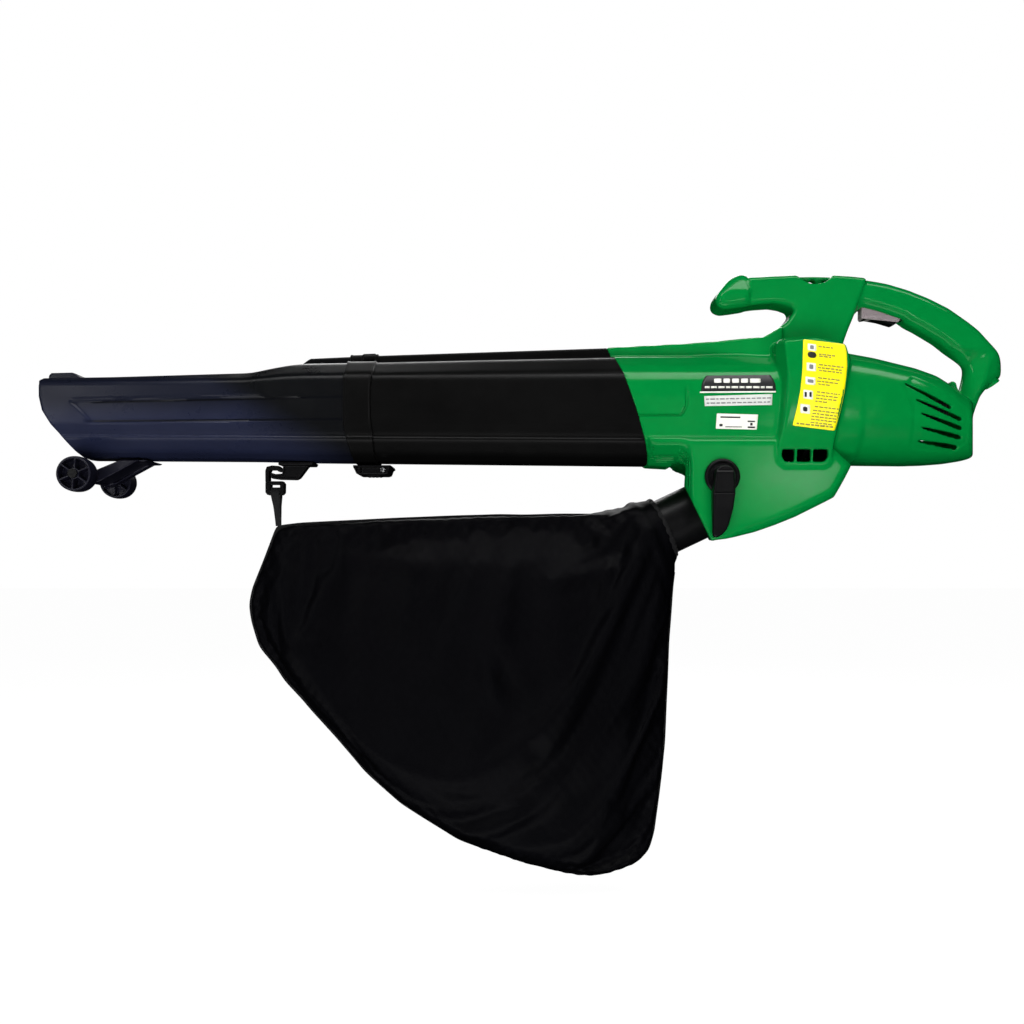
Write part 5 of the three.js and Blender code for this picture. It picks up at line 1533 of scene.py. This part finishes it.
# elastic hem at the mouth of the sleeve
a = np.linspace(0, 2 * math.pi, 120, endpoint=False)
side_n = side_v / np.linalg.norm(side_v)
rr = 36.7 + 0.35 * np.cos(22 * a)
circ = PORT + PORT_DIR * 44.0 + rr[:, None] * (np.cos(a)[:, None] * side_n + np.sin(a)[:, None] * np.array([0, 1.0, 0]))
radial = (np.cos(a)[:, None] * side_n + np.sin(a)[:, None] * np.array([0, 1.0, 0]))
axial = np.tile(PORT_DIR, (len(a), 1))
hem = sweep("bag_sleeve_hem", circ, radial, axial, [(1.3, -1.6), (1.6, 0), (1.5, 2.6), (0.9, 4.0), (-0.4, 4.0), (-0.7, 0), (-0.5, -1.8), (0.5, -2.2)], M_BINDING, closed=True)
area = sum(q.area for q in bag.data.polygons) / 2
for o, sl in ((bag, "bag_fabric"), (binding, "bag_fabric"), (hem, "bag_fabric")):
    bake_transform(o)
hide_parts("bag_left", "bag_right")
print("bag area", area)

# webbing loop: through the clip and down to the corner of the bag
half_loop = [(-1.2, -290.0), (-2.0, -284), (-4.4, -272), (-6.6, -262), (-8.2, -254.5), (-8.6, -250), (-7.6, -246.4), (-4.5, -244.6), (0, -244.1)]
lp = half_loop + [(-y, z) for y, z in half_loop[-2::-1]]
lp = resample(lp, 1.5)
for _ in range(4):
    lp[1:-1] = 0.5 * lp[1:-1] + 0.25 * (lp[2:] + lp[:-2])
tz = np.gradient(lp, axis=0)
tz /= np.linalg.norm(tz, axis=1)[:, None]
zz = lp[:, 1]
cx = np.interp(zz, [-290, -272, -250, -244], [-638.2, -639.2, -640.8, -640.9])
hwid = np.interp(zz, [-290, -280, -266, -254, -244], [3.2, 3.4, 3.8, 5.2, 5.2])
path = np.stack([cx, lp[:, 0], zz], 1)
Ux = np.tile([1.0, 0, 0], (len(lp), 1))
Vn = np.stack([0 * zz, -tz[:, 1], tz[:, 0]], 1)
base_prof = np.array([(1, 0), (0.97, 0.55), (0.8, 0.8), (0.4, 0.72), (0, 0.8), (-0.4, 0.72), (-0.8, 0.8), (-0.97, 0.55), (-1, 0), (-0.97, -0.55), (-0.8, -0.8), (-0.4, -0.72), (0, -0.8), (0.4, -0.72), (0.8, -0.8), (0.97, -0.55)])
pr = np.repeat(base_prof[None], len(lp), 0)
pr[:, :, 0] *= hwid[:, None]
web = sweep("bag_strap_webbing", path, Ux, Vn, pr, M_WEB)
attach(web, "root")
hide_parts("bag_strap")

# ------------------------------------------------------------------ labels (plain blocks and bars, no lettering)
tree = BVHTree.FromObject(shell_left, bpy.context.evaluated_depsgraph_get())
EYE = Vector(cam.location)


def on_side(u, v, lift):
    """The point of the left shell seen at (u, v) of the side view, lifted off the plastic by lift mm."""
    far = Vector(((u - 512) * 0.0012 - 0.3582, 0.0, (562 - v) * 0.0012 - 0.333))
    d = (far - EYE).normalized()
    hit, nor, _, _ = tree.ray_cast(EYE, d)
    return hit - d * (lift * MM)


def decal_faces(left, right, lift, m, corner=0.0, thick=0.12):
    """Vertices and faces of a thin patch between two edge lines of the side view."""
    left, right = np.array(left, float), np.array(right, float)
    sl = np.concatenate([[0], np.cumsum(np.linalg.norm(np.diff(left, axis=0), axis=1))])
    sr = np.concatenate([[0], np.cumsum(np.linalg.norm(np.diff(right, axis=0), axis=1))])
    n = max(1, int(sl[-1] / 2.2))
    rows = np.linspace(0, 1, n + 1)
    if corner:
        c = corner / sl[-1]
        rows = np.unique(np.concatenate([rows, np.linspace(0, c, 6), 1 - np.linspace(0, c, 6)]))
    top, bot = [], []
    for t in rows:
        a = np.array([np.interp(t * sl[-1], sl, left[:, i]) for i in (0, 1)])
        b = np.array([np.interp(t * sr[-1], sr, right[:, i]) for i in (0, 1)])
        dist = min(t, 1 - t) * sl[-1]
        inset_ = corner - math.sqrt(max(corner ** 2 - (corner - dist) ** 2, 0)) if dist < corner else 0
        w = np.linalg.norm(b - a)
        for j in range(m + 1):
            q = a + (b - a) * (inset_ / w + (1 - 2 * inset_ / w) * j / m)
            top.append(tuple(on_side(q[0], q[1], lift) * 1000))
            bot.append(tuple(on_side(q[0], q[1], lift - thick) * 1000))
    k, w_ = len(rows), m + 1
    V = top + bot
    o = len(top)
    F = []
    for i in range(k - 1):
        for j in range(m):
            a = i * w_ + j
            F.append((a, a + 1, a + w_ + 1, a + w_))
            F.append((o + a, o + a + w_, o + a + w_ + 1, o + a + 1))
    rim = [j for j in range(w_)] + [i * w_ + m for i in range(1, k)] + [(k - 1) * w_ + j for j in range(m - 1, -1, -1)] + [i * w_ for i in range(k - 2, 0, -1)]
    for i in range(len(rim)):
        a, b = rim[i], rim[(i + 1) % len(rim)]
        F.append((b, a, o + a, o + b))
    return V, F


def decal(name, parts, mat):
    """One piece made of several thin patches: (left edge, right edge, lift, columns, corner)."""
    V, F = [], []
    for left, right, lift, m, corner in parts:
        v, f = decal_faces(left, right, lift, m, corner)
        F += [tuple(i + len(V) for i in q) for q in f]
        V += v
    o = make(name, V, F, mat, None, 180)
    outward(o)
    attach(o, "root")
    return o


def bar(x0, x1, y, h, slope=0.0, lift=0.5):
    dy = slope * (x1 - x0)
    return ([(x0, y - h / 2), (x0, y + h / 2)], [(x1, y - h / 2 + dy), (x1, y + h / 2 + dy)], lift, max(1, int((x1 - x0) / 3)), 0)


def block(x0, x1, y0, y1, slope=0.0, lift=0.5, corner=0.0):
    dy = slope * (x1 - x0)
    return ([(x0, y0), (x0, y1)], [(x1, y0 + dy), (x1, y1 + dy)], lift, 4, corner)


SL = 0.12
decal("label_yellow_sheet", [([(803.3, 339.2), (802.8, 354.9), (802.2, 371.2), (800.6, 388.5), (797.3, 405.9), (792.5, 425.4)],
                              [(844.5, 344.1), (846.7, 351.7), (847.2, 365.8), (846.0, 378.8), (843.9, 395.1), (840.6, 410.2), (834.7, 430.8)], 0.3, 18, 1.2)], M_YELLOW)
decal("label_icon_squares", [block(807.6, 816.2, 343.4, 350.2, SL, 0.5, 0.8), block(806.6, 816, 362.3, 370.3, SL, 0.5, 0.8),
                             block(805.5, 815.4, 376.5, 384.0, SL, 0.5, 0.8), block(803.4, 813.0, 389.6, 398.4, SL, 0.5, 0.8),
                             block(800.2, 810.0, 403.7, 412.8, SL, 0.5, 0.8)], M_PAPER)
decal("label_icon_marks", [block(810.2, 813.8, 345.0, 349.0, SL, 0.7, 0.9), block(809.3, 813.3, 364.3, 368.8, SL, 0.7, 1.0),
                           block(807.6, 813.4, 379.0, 382.4, SL, 0.7, 0.8)], M_GREYINK)
decal("label_icon_dark_marks", [block(807.6, 816.4, 351.2, 357.4, SL, 0.5, 3.0), block(804.6, 806.8, 391.8, 396.8, SL, 0.7, 0.6),
                                block(809.4, 811.6, 391.8, 396.8, SL, 0.7, 0.6), block(803.0, 807.4, 406.4, 411.2, SL, 0.7, 1.6)], M_INK)
lines = [(818.5, 833, 346.3), (819, 835.4, 354.1), (819, 831, 356.0), (819, 843.4, 364.5), (818, 841.8, 367.4), (819, 841.8, 370.3),
         (818, 839.7, 377.7), (816.9, 838.5, 381), (818, 829.9, 384), (816.9, 839.7, 391.8), (816.4, 838.5, 395), (815.8, 838, 398.1),
         (815.3, 828.3, 401), (814.7, 838.6, 406.4), (813.1, 838, 410.2), (812.6, 836.4, 413.3), (811.5, 836.4, 416.2), (810.9, 835.9, 419.1), (810.4, 832, 422.2)]
words = []
for k, (x0, x1, y) in enumerate(lines):
    x, i = x0, k
    while x < x1 - 1.2:
        w = min(2.2 + 1.9 * abs(math.sin(2.3 * i + 0.7)), x1 - x)
        words.append(bar(x, x + w, y + SL * (x - x0), 1.25, SL))
        x += w + 0.9
        i += 1
x, i = 796.4, 3
while x < 832:
    w = min(2.6 + 2.2 * abs(math.sin(2.1 * i)), 833 - x)
    words.append(bar(x, x + w, 423.3 + 0.105 * (x - 796.4), 1.7, 0.105))
    x += w + 1.0
    i += 1
decal("label_lines", words, M_SOFTINK)

decal("name_plate", [([(706.3, 375.6), (703.6, 379.0), (701.7, 384.2), (700.9, 391.4)], [(770.4, 375.0), (773.4, 379.4), (775.5, 384.2), (776.0, 390.8)], 0.3, 24, 0.7)], M_INK)
decal("name_plate_rule", [([(699.8, 391.5), (699.8, 393.0)], [(775.9, 391.0), (775.9, 392.5)], 0.45, 24, 0)], M_PAPER)
blocks = []
for x0, x1 in ((714, 721.5), (723.5, 730), (732, 739), (741, 748), (750, 760.5)):
    blocks.append(block(x0, x1, 378.6, 382.8, -0.008, 0.5, 0.7))
x, i = 704.8, 0
while x < 771.5:
    w = min(3.6 + 3.2 * abs(math.sin(1.9 * i + 0.4)), 772.5 - x)
    blocks.append(bar(x, x + w, 387.2, 2.1, 0, 0.5))
    x += w + 1.3
    i += 1
decal("name_plate_blocks", blocks, M_PAPER)
decal("rating_strip", [([(704.1, 396.1), (704.6, 406.1)], [(772.4, 394.0), (771.9, 405.0)], 0.3, 22, 0.3)], M_SILVER)
marks = []
for x0, x1, y in ((706, 771, 399.2), (706.5, 770, 403.2)):
    x, i = x0, int(y)
    while x < x1:
        w = 2.2 + 2.6 * abs(math.sin(1.7 * i))
        marks.append(bar(x, min(x + w, x1), y - 0.02 * (x - x0), 1.2, -0.02))
        x += w + 1.3
        i += 1
decal("rating_strip_bars", marks, M_GREYINK)
decal("side_label", [([(716.8, 413.5), (715.7, 428.7)], [(758.2, 414.6), (756.7, 429.7)], 0.3, 14, 0.7)], M_PAPER)
decal("side_label_bars", [bar(720.4, 740.4, 417.0, 1.5, 0.02), block(719.4, 722.6, 423.9, 426.4, 0.02, 0.5, 0.4), bar(725.3, 741.8, 426.8, 0.8, 0.01),
                          bar(747.6, 754.9, 421.3, 1.4, 0.02), bar(747.6, 754.9, 427.2, 1.6, 0.02), block(750.2, 752.6, 422.8, 425.6, 0.02, 0.5, 0.2)], M_INK)

# ------------------------------------------------------------------ finishes of the pieces shown as built
KEPT = {M_STEEL: ("wheel_axle", "impeller_washer", "impeller_nut", "rotor_shaft", "bearing_front", "bearing_rear", "selector_shaft"),
        M_BLACK: ("axle_cap_left", "axle_cap_right", "inlet_ring", "impeller", "fan_bulkhead", "cooling_fan", "rear_bearing_bracket", "switch_body", "diverter_flap"),
        M_GREEN: ("mains_inlet",),
        M_IRON: ("rotor_core", "stator_core"), M_COPPER: ("commutator", "field_coil_upper", "field_coil_lower"),
        M_BRASS: ("brush_holder_left", "brush_holder_right"), M_CARBON: ("brush_left", "brush_right"), M_FILM: ("capacitor",)}
for mt, names in KEPT.items():
    for nm in names:
        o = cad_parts[nm]
        o.data.materials.clear()
        o.data.materials.append(mt)
        shade(o, 35)
for nm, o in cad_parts.items():
    if not o.hide_render and not any(nm in v for v in KEPT.values()):
        print("node without a finish:", nm)
